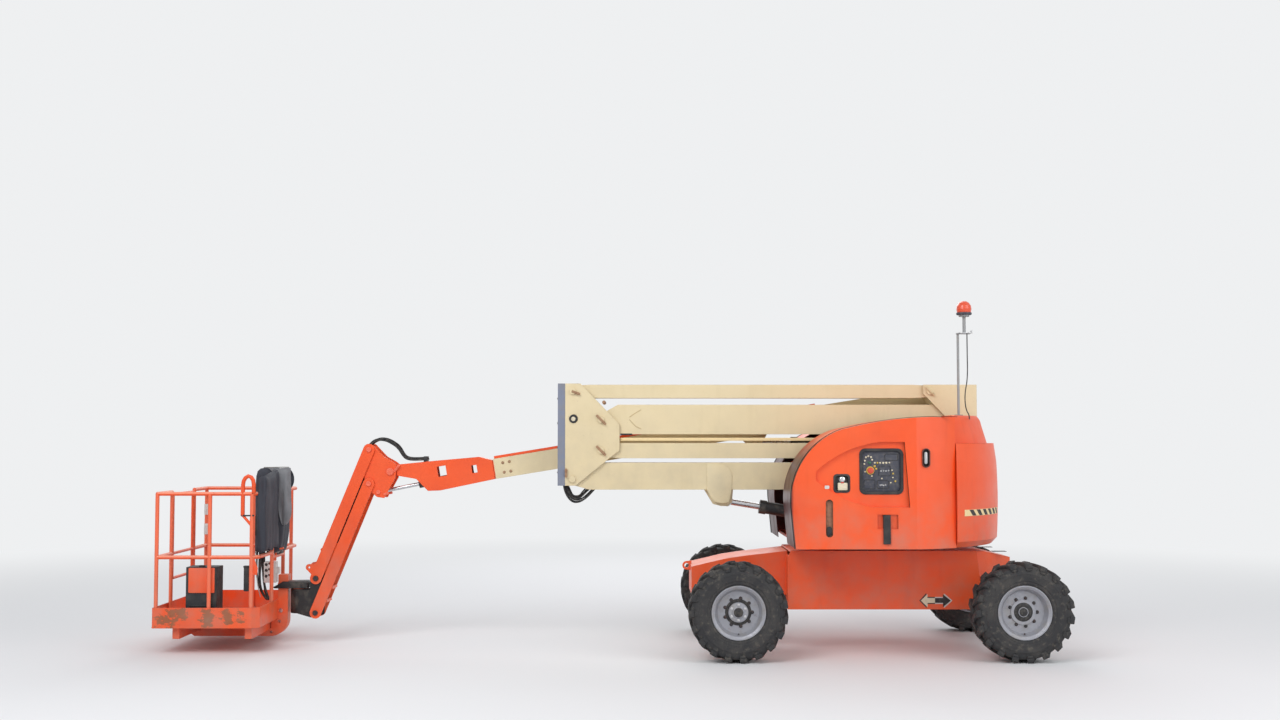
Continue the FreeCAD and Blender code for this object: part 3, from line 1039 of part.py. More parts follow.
bracket_plate = [
    ("bracket_x - 235", "bracket_z + 238"), ("bracket_x - 235", "bracket_z - 132"),
    ("bracket_x - 118", "bracket_z - 232"), ("bracket_x - 52", "bracket_z - 241"),
    ("bracket_x + 48", "bracket_z - 58"), ("bracket_x + 57", "bracket_z + 65"),
    ("bracket_x + 28", "bracket_z + 88"), ("bracket_x - 54", "bracket_z + 133"),
    ("bracket_x - 155", "bracket_z + 238"),
]
PLATE_NEAR = ("boom_y - jib_plate_out", "boom_y - jib_plate_in")
PLATE_FAR = ("boom_y + jib_plate_in", "boom_y + jib_plate_out")
PIN_SPAN = ("boom_y - jib_arm_out - 8", "boom_y + jib_arm_out + 8")
bracket = [
    pad("bracket_near", "side", bracket_plate, PLATE_NEAR),
    pad("bracket_far", "side", bracket_plate, PLATE_FAR),
    rod("bracket_pin", "y", "pin_radius", ("boom_y - jib_plate_out - 10", "boom_y + jib_plate_out + 10"),
        "bracket_x", 0, "bracket_z"),
    rod("bracket_pin_high", "y", "jib_pin_radius", PIN_SPAN, "jib_pin_x", 0, "jib_high_z"),
    rod("bracket_pin_low", "y", "jib_pin_radius", PIN_SPAN, "jib_pin_x", 0, "jib_low_z"),
    rod("bracket_stub_near", "y", "18", ("boom_y - jib_plate_out - 8", "boom_y - ram_half"),
        "level_eye_x", 0, "level_eye_z"),
    rod("bracket_stub_far", "y", "18", ("boom_y + ram_half", "boom_y + jib_plate_out + 8"),
        "level_eye_x", 0, "level_eye_z"),
]
node("jib_bracket", fuse("jib_bracket_all", *bracket))

ARMS = (
    # Columns: name, pin z, side of the cross tube, which end's bore has extra clearance
    ("upper", "jib_high_z", 1, "foot"), ("lower", "jib_low_z", -1, ""),
)
for name, pin_z, side, open_end in ARMS:
    deep = "jib_arm_deep / 2"
    pieces = []
    for word, span in (("near", ("boom_y - jib_arm_out", "boom_y - jib_arm_in")),
                       ("far", ("boom_y + jib_arm_in", "boom_y + jib_arm_out"))):
        slack = "open_gap" if open_end else "pin_gap"
        pieces.append(pad(f"arm_{name}_{word}", "side", [
            ("0", f"-{deep}"), ("via", deep, "0"), ("0", deep), ("-jib_long", deep),
            ("via", f"-jib_long - {deep}", "0"), ("-jib_long", f"-{deep}"),
        ], span, [("0", "0", "jib_pin_radius + pin_gap"),
                  ("-jib_long", "0", f"jib_pin_radius + {slack}")]))
    for spot in ("-jib_long + 260", "-jib_long + 130"):
        pieces.append(rod(f"arm_{name}_tie{len(pieces)}", "y", "14",
                          ("boom_y - jib_arm_in - 2", "boom_y + jib_arm_in + 2"), spot, 0,
                          times(side, f"({deep} - 4)")))
    if side > 0:
        for word, span in (("near", ("boom_y - jib_arm_out", "boom_y - jib_arm_in")),
                           ("far", ("boom_y + jib_arm_in", "boom_y + jib_arm_out"))):
            pieces.append(pad(f"arm_{name}_lug_{word}", "side", [
                ("-jib_long + 16", f"{deep} - 8"), ("-jib_long + 40", f"{deep} + 46"),
                ("via", "-jib_long + 70", f"{deep} + 72"), ("-jib_long + 100", f"{deep} + 46"),
                ("-jib_long + 124", f"{deep} - 8"),
            ], span, [("-jib_long + 70", f"{deep} + 40", "9")]))
    node(f"jib_arm_{name}", place(fuse(f"arm_{name}_all", *pieces), "jib_pin_x", 0, pin_z, "-jib_drop"))

head_plate = [
    ("head_pin_x + 42", "head_low_z - 30"), ("head_pin_x + 42", "head_high_z + 20"),
    ("via", "head_pin_x", "head_high_z + 44"), ("head_pin_x - 42", "head_high_z + 20"),
    ("turn_x + 110", "head_high_z - 104"), ("turn_x + 10", "head_high_z - 104"),
    ("turn_x", "head_low_z - 8"),
    ("head_pin_x - 42", "head_low_z - 44"), ("head_pin_x + 20", "head_low_z - 44"),
]
head = [
    pad("head_near", "side", head_plate, PLATE_NEAR),
    pad("head_far", "side", head_plate, PLATE_FAR),
    rod("head_pin_high", "y", "jib_pin_radius", PIN_SPAN, "head_pin_x", 0, "head_high_z"),
    rod("head_stub_near", "y", "jib_pin_radius", (PIN_SPAN[0], "boom_y - ram_half - 4"),
        "head_pin_x", 0, "head_low_z"),
    rod("head_stub_far", "y", "jib_pin_radius", ("boom_y + ram_half + 4", PIN_SPAN[1]),
        "head_pin_x", 0, "head_low_z"),
    rod("rotator_housing", "z", "head_radius", ("head_low_z - 8", "head_high_z - 100"), "turn_x", "boom_y"),
    box("rotator_saddle", ("turn_x - 20", "turn_x + 40"),
        ("boom_y - jib_plate_in - 1", "boom_y + jib_plate_in + 1"), ("head_low_z + 40", "head_high_z - 130")),
]
node("jib_head", fuse("jib_head_all", *head))

# Platform

swivel_z = "head_high_z - 100 + axle_seat"
R = "basket_right"
support = [
    rod("swivel_disc", "z", "head_radius - 8", (swivel_z, f"{swivel_z} + 30"), "turn_x", "boom_y"),
    box("swivel_plate", (f"{R} + 2", "turn_x + 60"), ("boom_y - 80", "boom_y + 80"),
        (f"{swivel_z} + 20", f"{swivel_z} + 56")),
    pad("support_post", "side", [
        (f"{R} + post_deep", "head_high_z + 30"), (f"{R} + axle_seat", "head_high_z + 30"),
        (f"{R} + axle_seat", "floor_low - axle_seat - 4"), (f"{R} - 60", "floor_low - axle_seat - 4"),
        (f"{R} - 60", "post_low + 70"), (f"{R} - platform_long + 150", "post_low + 70"),
        (f"{R} - platform_long + 130", "post_low + 20"), (f"{R} - platform_long + 160", "post_low"),
        (f"{R} - 60", "post_low"), ("via", f"{R} + post_deep - 36", "post_low + 54"),
        (f"{R} + post_deep", "post_low + 160"),
    ], ("boom_y - post_half", "boom_y + post_half"),
        [(f"{R} + 26", "post_low + 230", "20"), (f"{R} + 14", "post_low + 132", "13"),
         (f"{R} - 60", "post_low + 36", "13")]),
]
for word, spot in (("right", f"{R} - 130"), ("left", f"{R} - platform_long + 160")):
    support.append(box(f"support_bar_{word}", (spot, f"{spot} + 60"),
                       ("basket_near + 60", "basket_far - 60"),
                       ("post_low + 60", "floor_low - axle_seat")))
node("platform_support", fuse("platform_support_all", *support))


def basket_outline(inset):
    return [
        (f"basket_left + {inset}", f"basket_near + {inset}"),
        (f"basket_right - 60 - {inset} / 2", f"basket_near + {inset}"),
        (f"basket_right - {inset}", f"basket_near + 60 + {inset} / 2"),
        (f"basket_right - {inset}", f"basket_far - 60 - {inset} / 2"),
        (f"basket_right - 60 - {inset} / 2", f"basket_far - {inset}"),
        (f"basket_left + {inset}", f"basket_far - {inset}"),
    ]


toe = cut("toe_ring", pad("toe_outer", "plan", basket_outline("0"), ("floor_low", "floor_low + toe_tall")),
          pad("toe_inner", "plan", basket_outline("toe_wall"),
              ("floor_low + deck_thick", "floor_low + toe_tall + 20")))
tread = box("tread_plate", ("basket_left + 60", "basket_right - 240"),
            ("basket_near + 300", "basket_far - 60"),
            ("floor_low + deck_thick - 1", "floor_low + deck_thick + tread_thick"))
node("platform_floor", fuse("platform_floor_all", toe, tread))

IN = "(toe_wall + rail_radius + 2)"
POSTS = (
    # Columns: x, y
    (f"basket_left + {IN}", f"basket_near + {IN}"), ("basket_left + 480", f"basket_near + {IN}"),
    (f"basket_right - post_in", f"basket_near + {IN}"), (f"basket_left + {IN}", f"basket_far - {IN}"),
    ("basket_left + 480", f"basket_far - {IN}"), ("basket_right - post_in", f"basket_far - {IN}"),
    (f"basket_left + {IN}", "boom_y - gate_half"), (f"basket_left + {IN}", "boom_y + gate_half"),
    (f"basket_right - {IN}", "boom_y - console_post"), (f"basket_right - {IN}", "boom_y + console_post"),
)
rails = [rod(f"rail_post{i}", "z", "rail_radius", ("floor_low + deck_thick + axle_seat", "top_rail_z"), x, y)
         for i, (x, y) in enumerate(POSTS)]
LEVELS = (("mid", "mid_rail_z"), ("top", "top_rail_z"))
for word, z in LEVELS:
    for row, y in (("near", f"basket_near + {IN}"), ("far", f"basket_far - {IN}")):
        rails.append(rod(f"rail_{row}_{word}", "x", "rail_radius",
                         (f"basket_left + {IN}", "basket_right - post_in"), y=y, z=z))
    for row, low, high in (("near", f"basket_near + {IN}", "boom_y - gate_half"),
                           ("far", "boom_y + gate_half", f"basket_far - {IN}")):
        rails.append(rod(f"rail_left_{row}_{word}", "y", "rail_radius", (low, high),
                         f"basket_left + {IN}", 0, z))
    for row, low, high in (("near", "basket_near + 80", "boom_y - console_post"),
                           ("far", "boom_y + console_post", "basket_far - 80")):
        rails.append(rod(f"rail_right_{row}_{word}", "y", "rail_radius", (low, high),
                         f"basket_right - {IN}", 0, z))
    for row, y0, y1 in (("near", f"basket_near + {IN}", "basket_near + 80"),
                        ("far", f"basket_far - {IN}", "basket_far - 80")):
        span = f"sqrt((post_in - {IN})^2 + ({y1} - ({y0}))^2)"
        sign = 1 if row == "near" else -1
        corner = rod(f"rail_corner_{row}_{word}", "x", "rail_radius", ("0", span))
        spin = f"{sign} * atan2(80 - {IN}; post_in - {IN}) / 1deg"
        corner = group(f"rail_corner_{row}_{word}_at", corner)
        rails.append(place(corner, "basket_right - post_in", y0, z, spin, (0, 0, 1)))
rails.append(rod("rail_right_sill", "y", "rail_radius", ("boom_y - console_post", "boom_y + console_post"),
                 f"basket_right - {IN}", 0, "mid_rail_z - 40"))
node("platform_rails", fuse("platform_rails_all", *rails))

gate_x = f"basket_left + {IN}"
gate_low = "boom_y - gate_half + 2 * rail_radius - 4 + axle_seat"
gate_high = "boom_y + gate_half - 2 * rail_radius - 8"
gate = [
    rod("gate_hinge", "z", "rail_radius - 4", ("mid_rail_z - 220", "top_rail_z - 20"), gate_x, gate_low),
    rod("gate_latch", "z", "rail_radius - 4", ("mid_rail_z - 220", "top_rail_z - 20"), gate_x, gate_high),
]
for word, z in (("top", "top_rail_z - 20"), ("mid", "mid_rail_z"), ("low", "mid_rail_z - 220")):
    gate.append(rod(f"gate_{word}", "y", "rail_radius - 4", (gate_low, gate_high), gate_x, 0, z))
node("platform_gate", fuse("gate_all", *gate))

console = [
    pad("console_body", "side", [
        (f"{R} - 190", "mid_rail_z + 150"), (f"{R} + 90", "mid_rail_z + 150"),
        (f"{R} + 90", "mid_rail_z + 420"), (f"{R} - 190", "mid_rail_z + 330"),
    ], ("boom_y - console_half", "boom_y + console_half")),
    box("console_foot", (f"{R} - 110", f"{R} + 40"), ("boom_y - 60", "boom_y + 60"),
        ("mid_rail_z - 40 + rail_radius + axle_seat", "mid_rail_z + 160")),
]
node("console", fuse("console_all", *console))
cover_out = pad("soft_outer", "side", [
    (f"{R} - 200", "mid_rail_z"), (f"{R} + 130", "mid_rail_z + 20"), (f"{R} + 150", "mid_rail_z + 480"),
    (f"{R} + 60", "mid_rail_z + 770"), (f"{R} - 120", "mid_rail_z + 780"),
    (f"{R} - 215", "mid_rail_z + 620"),
], ("boom_y - cover_half", "boom_y + cover_half"))
cover_in = pad("soft_inner", "side", [
    (f"{R} - 196", "mid_rail_z - 10"), (f"{R} + 122", "mid_rail_z - 10"),
    (f"{R} + 138", "mid_rail_z + 470"), (f"{R} - 196", "mid_rail_z + 470"),
], ("boom_y - console_half - axle_seat", "boom_y + console_half + axle_seat"))
node("console_cover", cut("console_cover_all", cover_out, cover_in))
node("tool_box", box("tool_chest", ("basket_left + 270", "basket_left + 535"),
                     ("basket_near + 60", "basket_near + 260"),
                     ("floor_low + deck_thick + axle_seat", "floor_low + 520")))

# Checking and saving

doc.recompute()
for thing in doc.Objects:
    if {"Invalid", "Error"} & set(thing.State):
        raise ValueError(f"{thing.Name} ({thing.Label}) did not build")
for thing in nodes:
    if thing.Shape.isNull() or not thing.Shape.isValid():
        raise ValueError(f"{thing.Label} has a bad shape")
    thing.Shape.exportStep(f"parts/{thing.Label}.step")
    print(thing.Label, len(thing.Shape.Solids), round(thing.Shape.Volume / 1e6, 2))
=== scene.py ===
import json
import math

import bmesh
import bpy
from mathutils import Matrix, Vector


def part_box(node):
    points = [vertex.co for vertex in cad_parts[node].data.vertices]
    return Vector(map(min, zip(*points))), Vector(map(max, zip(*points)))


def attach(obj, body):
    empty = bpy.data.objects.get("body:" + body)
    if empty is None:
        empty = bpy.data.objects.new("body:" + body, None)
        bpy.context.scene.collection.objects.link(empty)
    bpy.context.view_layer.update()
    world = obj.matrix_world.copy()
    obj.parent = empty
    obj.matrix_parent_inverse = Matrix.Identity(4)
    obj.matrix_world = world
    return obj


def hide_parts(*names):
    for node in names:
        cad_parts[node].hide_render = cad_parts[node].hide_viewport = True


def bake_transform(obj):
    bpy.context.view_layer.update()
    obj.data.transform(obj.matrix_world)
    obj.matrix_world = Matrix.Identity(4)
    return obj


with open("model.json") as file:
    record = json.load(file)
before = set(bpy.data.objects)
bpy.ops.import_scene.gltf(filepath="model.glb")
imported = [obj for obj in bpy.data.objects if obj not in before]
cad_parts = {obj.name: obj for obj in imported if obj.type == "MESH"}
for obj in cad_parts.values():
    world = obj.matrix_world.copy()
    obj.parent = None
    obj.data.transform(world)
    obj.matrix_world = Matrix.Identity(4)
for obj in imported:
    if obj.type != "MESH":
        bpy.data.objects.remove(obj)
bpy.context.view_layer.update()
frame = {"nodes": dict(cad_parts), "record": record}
X, Y, Z = Vector((1, 0, 0)), Vector((0, 1, 0)), Vector((0, 0, 1))
AXES = {"x": (Y, Z, X), "y": (X, Z, Y), "z": (X, Y, Z)}
SIDES = (("near", -1), ("far", 1))


def middle(node):
    low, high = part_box(node)
    return (low + high) / 2


SLEW = middle("slew_ring")


def at(x, z):
    """A place in the side plane: millimetres from the slewing axis and from the ground."""
    return (SLEW.x + x / 1000, z / 1000)


def spot(x, y, z):
    """A place in space: X from the slewing axis, Y and Z in the frame, all in millimetres."""
    return Vector((SLEW.x + x / 1000, y / 1000, z / 1000))


def show(name, data):
    thing = bpy.data.objects.new(name, data)
    bpy.context.scene.collection.objects.link(thing)
    return thing


def node(tree, kind, inputs=(), **settings):
    """Adds a node; each input is given as a value, or as the socket that it is linked to."""
    made = tree.nodes.new("ShaderNode" + kind)
    for key, setting in settings.items():
        setattr(made, key, setting)
    for key, value in dict(inputs).items():
        if isinstance(value, bpy.types.NodeSocket):
            tree.links.new(value, made.inputs[key])
        else:
            made.inputs[key].default_value = value
    return made


# Camera, light and floor

CAMERA_AT = (SLEW.x - 2.0545, -13.431, 1.870)
CAMERA_PITCH, CAMERA_YAW = 3.025, -0.206
PHOTO_WIDE, FOCAL_PIXELS, SENSOR = 1280, 1471.3, 36.0
LAMPS = (
    # Columns: name, place, size, watts
    ("key", (-4.5, -9.0, 9.0), 7.0, 720), ("fill", (8.0, -7.0, 5.0), 7.0, 330), ("back", (1.0, 9.0, 8.0), 8.0, 460),
)
LAMP_AIM = Vector((0, 0, 1.2))
SKY, SKY_STRENGTH = (0.93, 0.96, 1.0, 1), 0.5
BACKGROUND = (0.86, 0.87, 0.88, 1)
FLOOR_COLOUR, FLOOR_REACH, FLOOR_FADE = (0.80, 0.80, 0.81, 1), 90.0, (4.5, 15.0)


def add_camera():
    data = bpy.data.cameras.new("camera")
    data.sensor_width = SENSOR
    data.lens = FOCAL_PIXELS / PHOTO_WIDE * SENSOR
    camera = show("camera", data)
    camera.location = CAMERA_AT
    camera.rotation_euler = (math.radians(90 + CAMERA_PITCH), 0, math.radians(CAMERA_YAW))
    bpy.context.scene.camera = camera


def background_rays(tree):
    """1 for the rays that show the background: seen directly, in metal and through glass."""
    rays = node(tree, "LightPath").outputs
    level = rays["Is Camera Ray"]
    for kind in ("Is Glossy Ray", "Is Transmission Ray"):
        level = node(tree, "Math", {0: level, 1: rays[kind]}, operation="MAXIMUM").outputs[0]
    return level


def add_lights():
    for name, place, size, watts in LAMPS:
        data = bpy.data.lights.new(name, "AREA")
        data.size, data.energy = size, watts
        lamp = show(name, data)
        lamp.location = place
        lamp.rotation_euler = (LAMP_AIM - Vector(place)).to_track_quat("-Z", "Y").to_euler()
    world = bpy.data.worlds.new("studio")
    bpy.context.scene.world = world
    world.use_nodes = True
    tree = world.node_tree
    soft = tree.nodes["Background"]
    soft.inputs["Color"].default_value = SKY
    soft.inputs["Strength"].default_value = SKY_STRENGTH
    pale = node(tree, "Background", {"Color": BACKGROUND, "Strength": 1.0})
    blend = node(tree, "MixShader", {0: background_rays(tree), 1: soft.outputs[0], 2: pale.outputs[0]})
    tree.links.new(blend.outputs[0], tree.nodes["World Output"].inputs["Surface"])
    bpy.context.scene.view_settings.view_transform = "Standard"


def add_floor():
    """A pale floor that fades into the background far from the machine."""
    mesh = bpy.data.meshes.new("floor")
    mesh.from_pydata([(x * FLOOR_REACH, y * FLOOR_REACH, 0) for x, y in ((-1, -1), (1, -1), (1, 1), (-1, 1))],
                     [], [(0, 1, 2, 3)])
    floor = show("floor", mesh)
    pale = bpy.data.materials.new("floor_pale")
    pale.use_nodes = True
    tree = pale.node_tree
    shader = tree.nodes["Principled BSDF"]
    shader.inputs["Base Color"].default_value = FLOOR_COLOUR
    shader.inputs["Roughness"].default_value = 0.9
    glow = node(tree, "Emission", {"Color": BACKGROUND})
    gap = node(tree, "VectorMath", {0: node(tree, "NewGeometry").outputs["Position"]}, operation="LENGTH")
    fade = node(tree, "MapRange", {"Value": gap.outputs["Value"], "From Min": FLOOR_FADE[0],
                                   "From Max": FLOOR_FADE[1]}, interpolation_type="SMOOTHSTEP")
    seen = node(tree, "Math", {0: fade.outputs["Result"], 1: background_rays(tree)}, operation="MULTIPLY")
    blend = node(tree, "MixShader", {0: seen.outputs[0], 1: shader.outputs[0], 2: glow.outputs[0]})
    tree.links.new(blend.outputs[0], tree.nodes["Material Output"].inputs["Surface"])
    mesh.materials.append(pale)


# Materials

def linear(*levels):
    """An sRGB colour from 0 to 255 as the linear values that a shader takes."""
    return (*(level / 255 / 12.92 if level / 255 <= 0.04045 else ((level / 255 + 0.055) / 1.055) ** 2.4
              for level in levels), 1)


ORANGE = (linear(242, 84, 24), linear(247, 104, 48), linear(204, 60, 18))
CREAM_DEEP = linear(205, 186, 142)
CREAM = (linear(226, 208, 168), linear(238, 224, 188), CREAM_DEEP)
# The second colour here is painted shade: a dark maroon for the hoods' inner and front faces.
FADED, SHADE_MAROON = linear(246, 150, 120), linear(76, 22, 20)
RUST, RUST_PALE = linear(112, 62, 36), linear(132, 84, 50)
DUST, SOOT = linear(150, 142, 128), linear(44, 42, 42)
COAT_ROUGH = 0.28


class Finish:
    """A node material built up in layers over one base colour."""

    def __init__(self, name, colour, rough=0.5, metal=0.0, coat=0.0):
        self.material = bpy.data.materials.new(name)
        self.material.use_nodes = True
        self.tree = self.material.node_tree
        self.shader = self.tree.nodes["Principled BSDF"]
        for key, level in (("Roughness", rough), ("Metallic", metal), ("Coat Weight", coat),
                           ("Coat Roughness", COAT_ROUGH), ("Base Color", colour)):
            self.shader.inputs[key].default_value = level
        self.layers = {"Base Color": colour, "Roughness": rough}
        self.where = self.add("TexCoord").outputs["Object"]

    def add(self, kind, inputs=(), **settings):
        return node(self.tree, kind, inputs, **settings)

    def noise(self, scale, detail=4.0, stretch=(1, 1, 1), rough=0.55):
        place = self.add("Mapping", {"Scale": stretch, "Vector": self.where})
        return self.add("TexNoise", {"Vector": place.outputs[0], "Scale": scale, "Detail": detail,
                                     "Roughness": rough}).outputs["Fac"]

    def remap(self, value, low, high, to_low=0.0, to_high=1.0):
        return self.add("MapRange", {"Value": value, "From Min": low, "From Max": high, "To Min": to_low,
                                     "To Max": to_high}).outputs["Result"]

    def sum(self, operation, first, second):
        return self.add("Math", {0: first, 1: second}, operation=operation).outputs[0]

    def lay(self, key, kind, level, mask):
        """Sets a level over what is there, where the mask is 1."""
        made = self.add("Mix", {"Factor": mask, "A": self.layers[key], "B": level}, data_type=kind)
        self.layers[key] = made.outputs["Result"]

    def paint(self, colour, mask):
        self.lay("Base Color", "RGBA", colour, mask)

    def mottle(self, colour, scale, detail, low, high, most, stretch=(1, 1, 1)):
        """Paints a colour over the noise's higher parts."""
        self.paint(colour, self.remap(self.noise(scale, detail, stretch), low, high, 0, most))

    def dull(self, level, scale, detail, low, high, most=1.0):
        self.lay("Roughness", "FLOAT", level, self.remap(self.noise(scale, detail), low, high, 0, most))

    def bump(self, height, strength, distance=0.002):
        under = {"Normal": self.layers["Normal"]} if "Normal" in self.layers else {}
        self.layers["Normal"] = self.add("Bump", {"Strength": strength, "Distance": distance, "Height": height,
                                                  **under}).outputs["Normal"]

    def bevelled(self, radius):
        return self.add("Bevel", {"Radius": radius}, samples=4).outputs["Normal"]

    def soften(self, radius):
        """Rounds the shading of sharp edges."""
        self.layers["Normal"] = self.bevelled(radius)

    def edges(self, radius, low, high):
        """A mask that is 1 close to an edge."""
        flat = self.add("NewGeometry").outputs["Normal"]
        turn = self.add("VectorMath", {0: self.bevelled(radius), 1: flat}, operation="DOT_PRODUCT")
        return self.remap(turn.outputs["Value"], high, low)

    def along(self, source, axis, *limits):
        """A mask from one component of a vector."""
        return self.remap(self.add("SeparateXYZ", {0: source}).outputs[axis], *limits)

    def facing(self, axis, low, high):
        """A mask that runs from 0 to 1 as a face turns to an axis, in the piece's own frame."""
        return self.along(self.add("TexCoord").outputs["Normal"], axis, low, high)

    def near(self, place, radius, feather):
        """A mask that is 1 within a radius of a place."""
        gap = self.add("VectorMath", {0: self.where, 1: place}, operation="DISTANCE")
        return self.remap(gap.outputs["Value"], radius + feather, radius - feather)

    def done(self):
        for key, level in self.layers.items():
            if isinstance(level, bpy.types.NodeSocket):
                self.tree.links.new(level, self.shader.inputs[key])
        return self.material


def paint_finish(name, colours, rust=0.9, dirt=(0.2, 1.2), rough=0.42, coat=0.10, sun=0.0, inside=0, spots=()):
    """Enamel with faded and deeper areas, streaks, chipped edges and dust low down; where inside is set, painted shade
    in dark maroon on a hood's inner and front faces.
    """
    colour, pale, deep = colours
    made = Finish(name, colour, rough=rough, coat=coat)
    made.soften(0.004)
    made.mottle(pale, 0.9, 3, 0.45, 0.75, 0.45)
    made.mottle(deep, 2.3, 5, 0.50, 0.80, 0.35)
    if sun:
        limits = (0.6, 0.95) if sun < 0.8 else (-0.25, 0.5)
        made.paint(FADED, made.along(made.add("NewGeometry").outputs["Normal"], "Z", *limits, 0, sun))
    if spots:
        mask = None
        for place, radius in spots:
            here = made.near(place, radius * 1.25, 0.055)
            mask = here if mask is None else made.sum("MAXIMUM", mask, here)
        ragged = made.remap(made.noise(19.0, 8, (0.7, 1, 1.2), 0.68), 0.36, 0.66)
        made.paint(RUST_PALE, made.remap(made.sum("SUBTRACT", mask, ragged), 0.02, 0.20, 0, 0.85))
    made.mottle(deep, 9.0, 6, 0.56, 0.78, 0.30, (1.0, 1.0, 0.12))
    chips = made.sum("MULTIPLY", made.edges(0.006, 0.80, 0.97), made.remap(made.noise(38.0, 5), 0.52, 0.60))
    made.paint(RUST, made.sum("MULTIPLY", chips, rust))
    made.mottle(RUST, 120.0, 2, 0.70, 0.74, 0.5 * rust)
    low_down = made.remap(made.along(made.where, "Z", *dirt), 0, 1, 0.45, 0.04)
    made.paint(DUST, made.sum("MULTIPLY", made.remap(made.noise(5.0, 6), 0.35, 0.75), low_down))
    if inside:
        # Painted shade: dark maroon on the faces turned in towards the machine and on the faces turned to −X.
        made.paint(SHADE_MAROON, made.facing("Y", 0.25 * inside, 0.5 * inside))
        made.paint(SHADE_MAROON, made.facing("X", -0.55, -0.85))
    made.dull(0.62, 3.5, 4, 0.42, 0.72, 0.8)
    made.bump(made.noise(420.0, 2), 0.10, 0.0006)
    made.bump(made.noise(14.0, 3), 0.12, 0.0025)
    return made.done()


def rubber_finish():
    made = Finish("tyre_rubber", linear(46, 46, 48), rough=0.82)
    made.soften(0.005)
    made.mottle(linear(74, 71, 68), 7.0, 6, 0.42, 0.72, 0.75)
    made.mottle(linear(118, 110, 98), 28.0, 6, 0.56, 0.78, 0.55)
    made.mottle(linear(26, 26, 28), 60.0, 3, 0.58, 0.70, 0.6)
    made.bump(made.noise(90.0, 5), 0.5, 0.002)
    made.bump(made.noise(420.0, 3), 0.3, 0.0008)
    return made.done()


def steel_finish(name, colour, rough, metal=0.0, dirt=0.4, coat=0.0):
    made = Finish(name, linear(*colour), rough, metal, coat)
    made.soften(0.003)
    made.mottle(DUST, 12.0, 6, 0.48, 0.80, dirt)
    made.mottle(RUST, 55.0, 5, 0.64, 0.76, dirt * 0.6)
    made.dull(min(rough + 0.3, 0.95), 24.0, 4, 0.40, 0.70)
    made.bump(made.noise(220.0, 3), 0.15, 0.0008)
    return made.done()


def plain_finish(name, colour, rough, wear, metal=0.0, coat=0.0, tint=DUST):
    """A small part's finish: uneven colour, a film of dirt and a fine grain."""
    made = Finish(name, linear(*colour), rough, metal, coat)
    made.mottle(tint, 34.0, 5, 0.46, 0.78, wear)
    made.dull(min(rough + 0.25, 0.95), 60.0, 4, 0.45, 0.70)
    made.bump(made.noise(180.0, 3), 0.2, 0.0005)
    return made.done()


def cloth_finish(name, colour, pale):
    """Coated woven cloth: a fine crossed weave, scuffed pale areas and creases."""
    made = Finish(name, linear(*colour), rough=0.78)
    made.mottle(linear(*pale), 6.0, 5, 0.46, 0.74, 0.6)
    made.mottle(SOOT, 22.0, 6, 0.55, 0.80, 0.35, (1, 1, 0.35))
    made.bump(made.noise(9.0, 5, (1, 1, 0.5)), 0.55, 0.012)
    weave = made.sum("ADD", made.noise(900.0, 1, (1, 1, 0.15)), made.noise(900.0, 1, (0.15, 0.15, 1)))
    made.bump(weave, 0.25, 0.0006)
    return made.done()


# Places of the bare patches on the platform's toe board, with their sizes
TOE_SPOTS = tuple((spot(x, -630, z), size) for x, z, size in (
    (-6035, 353, 0.045), (-5965, 353, 0.045), (-6150, 296, 0.036), (-6090, 292, 0.040), (-6030, 290, 0.036),
    (-5745, 340, 0.050), (-5745, 285, 0.046), (-5567, 330, 0.044), (-5560, 296, 0.040), (-5470, 330, 0.030)))
SHELL = {"rust": 0.0, "dirt": (0.9, 1.5), "rough": 0.36, "coat": 0.12, "sun": 0.2}
MATERIALS = {
    "orange_paint": paint_finish("orange_paint", ORANGE, sun=0.5),
    "orange_shell": paint_finish("orange_shell", ORANGE, **SHELL),
    # The hoods' finishes carry painted shade in dark maroon on their inner and front faces.
    "hood_near": paint_finish("hood_near_shell", ORANGE, **SHELL, inside=1),
    "hood_far": paint_finish("hood_far_shell", ORANGE, **SHELL, inside=-1),
    "platform_rails": paint_finish("platform_rails", ORANGE, sun=0.95),
    "platform_floor": paint_finish("platform_floor", ORANGE, sun=0.5, spots=TOE_SPOTS),
    "weight_paint": paint_finish("weight_paint", ORANGE, 0.3, (0.9, 1.5), 0.4, 0.2),
    "cream_paint": paint_finish("cream_paint", CREAM, 0.8, (0.9, 2.2), 0.4, 0.2),
    "black_steel": steel_finish("black_steel", (30, 30, 32), 0.42),
    "grey_steel": steel_finish("grey_steel", (150, 151, 152), 0.5),
    "bare_steel": steel_finish("bare_steel", (200, 201, 204), 0.22, 1.0, 0.15),
    "dark_iron": steel_finish("dark_iron", (52, 52, 54), 0.6, 0.0, 0.7),
    "rim": steel_finish("rim_silver", (156, 157, 164), 0.42, 0.35, 0.6),
    "tyre": rubber_finish(),
    "black_plastic": steel_finish("black_plastic", (34, 35, 38), 0.5, 0.0, 0.2),
    "amber_plastic": steel_finish("amber_plastic", (226, 74, 30), 0.25, 0.0, 0.1, 0.5),
    "blue_grey_plastic": steel_finish("blue_grey_plastic", (126, 132, 150), 0.6, 0.0, 0.5),
    "charcoal_fabric": steel_finish("charcoal_fabric", (72, 74, 84), 0.8, 0.0, 0.3),
}
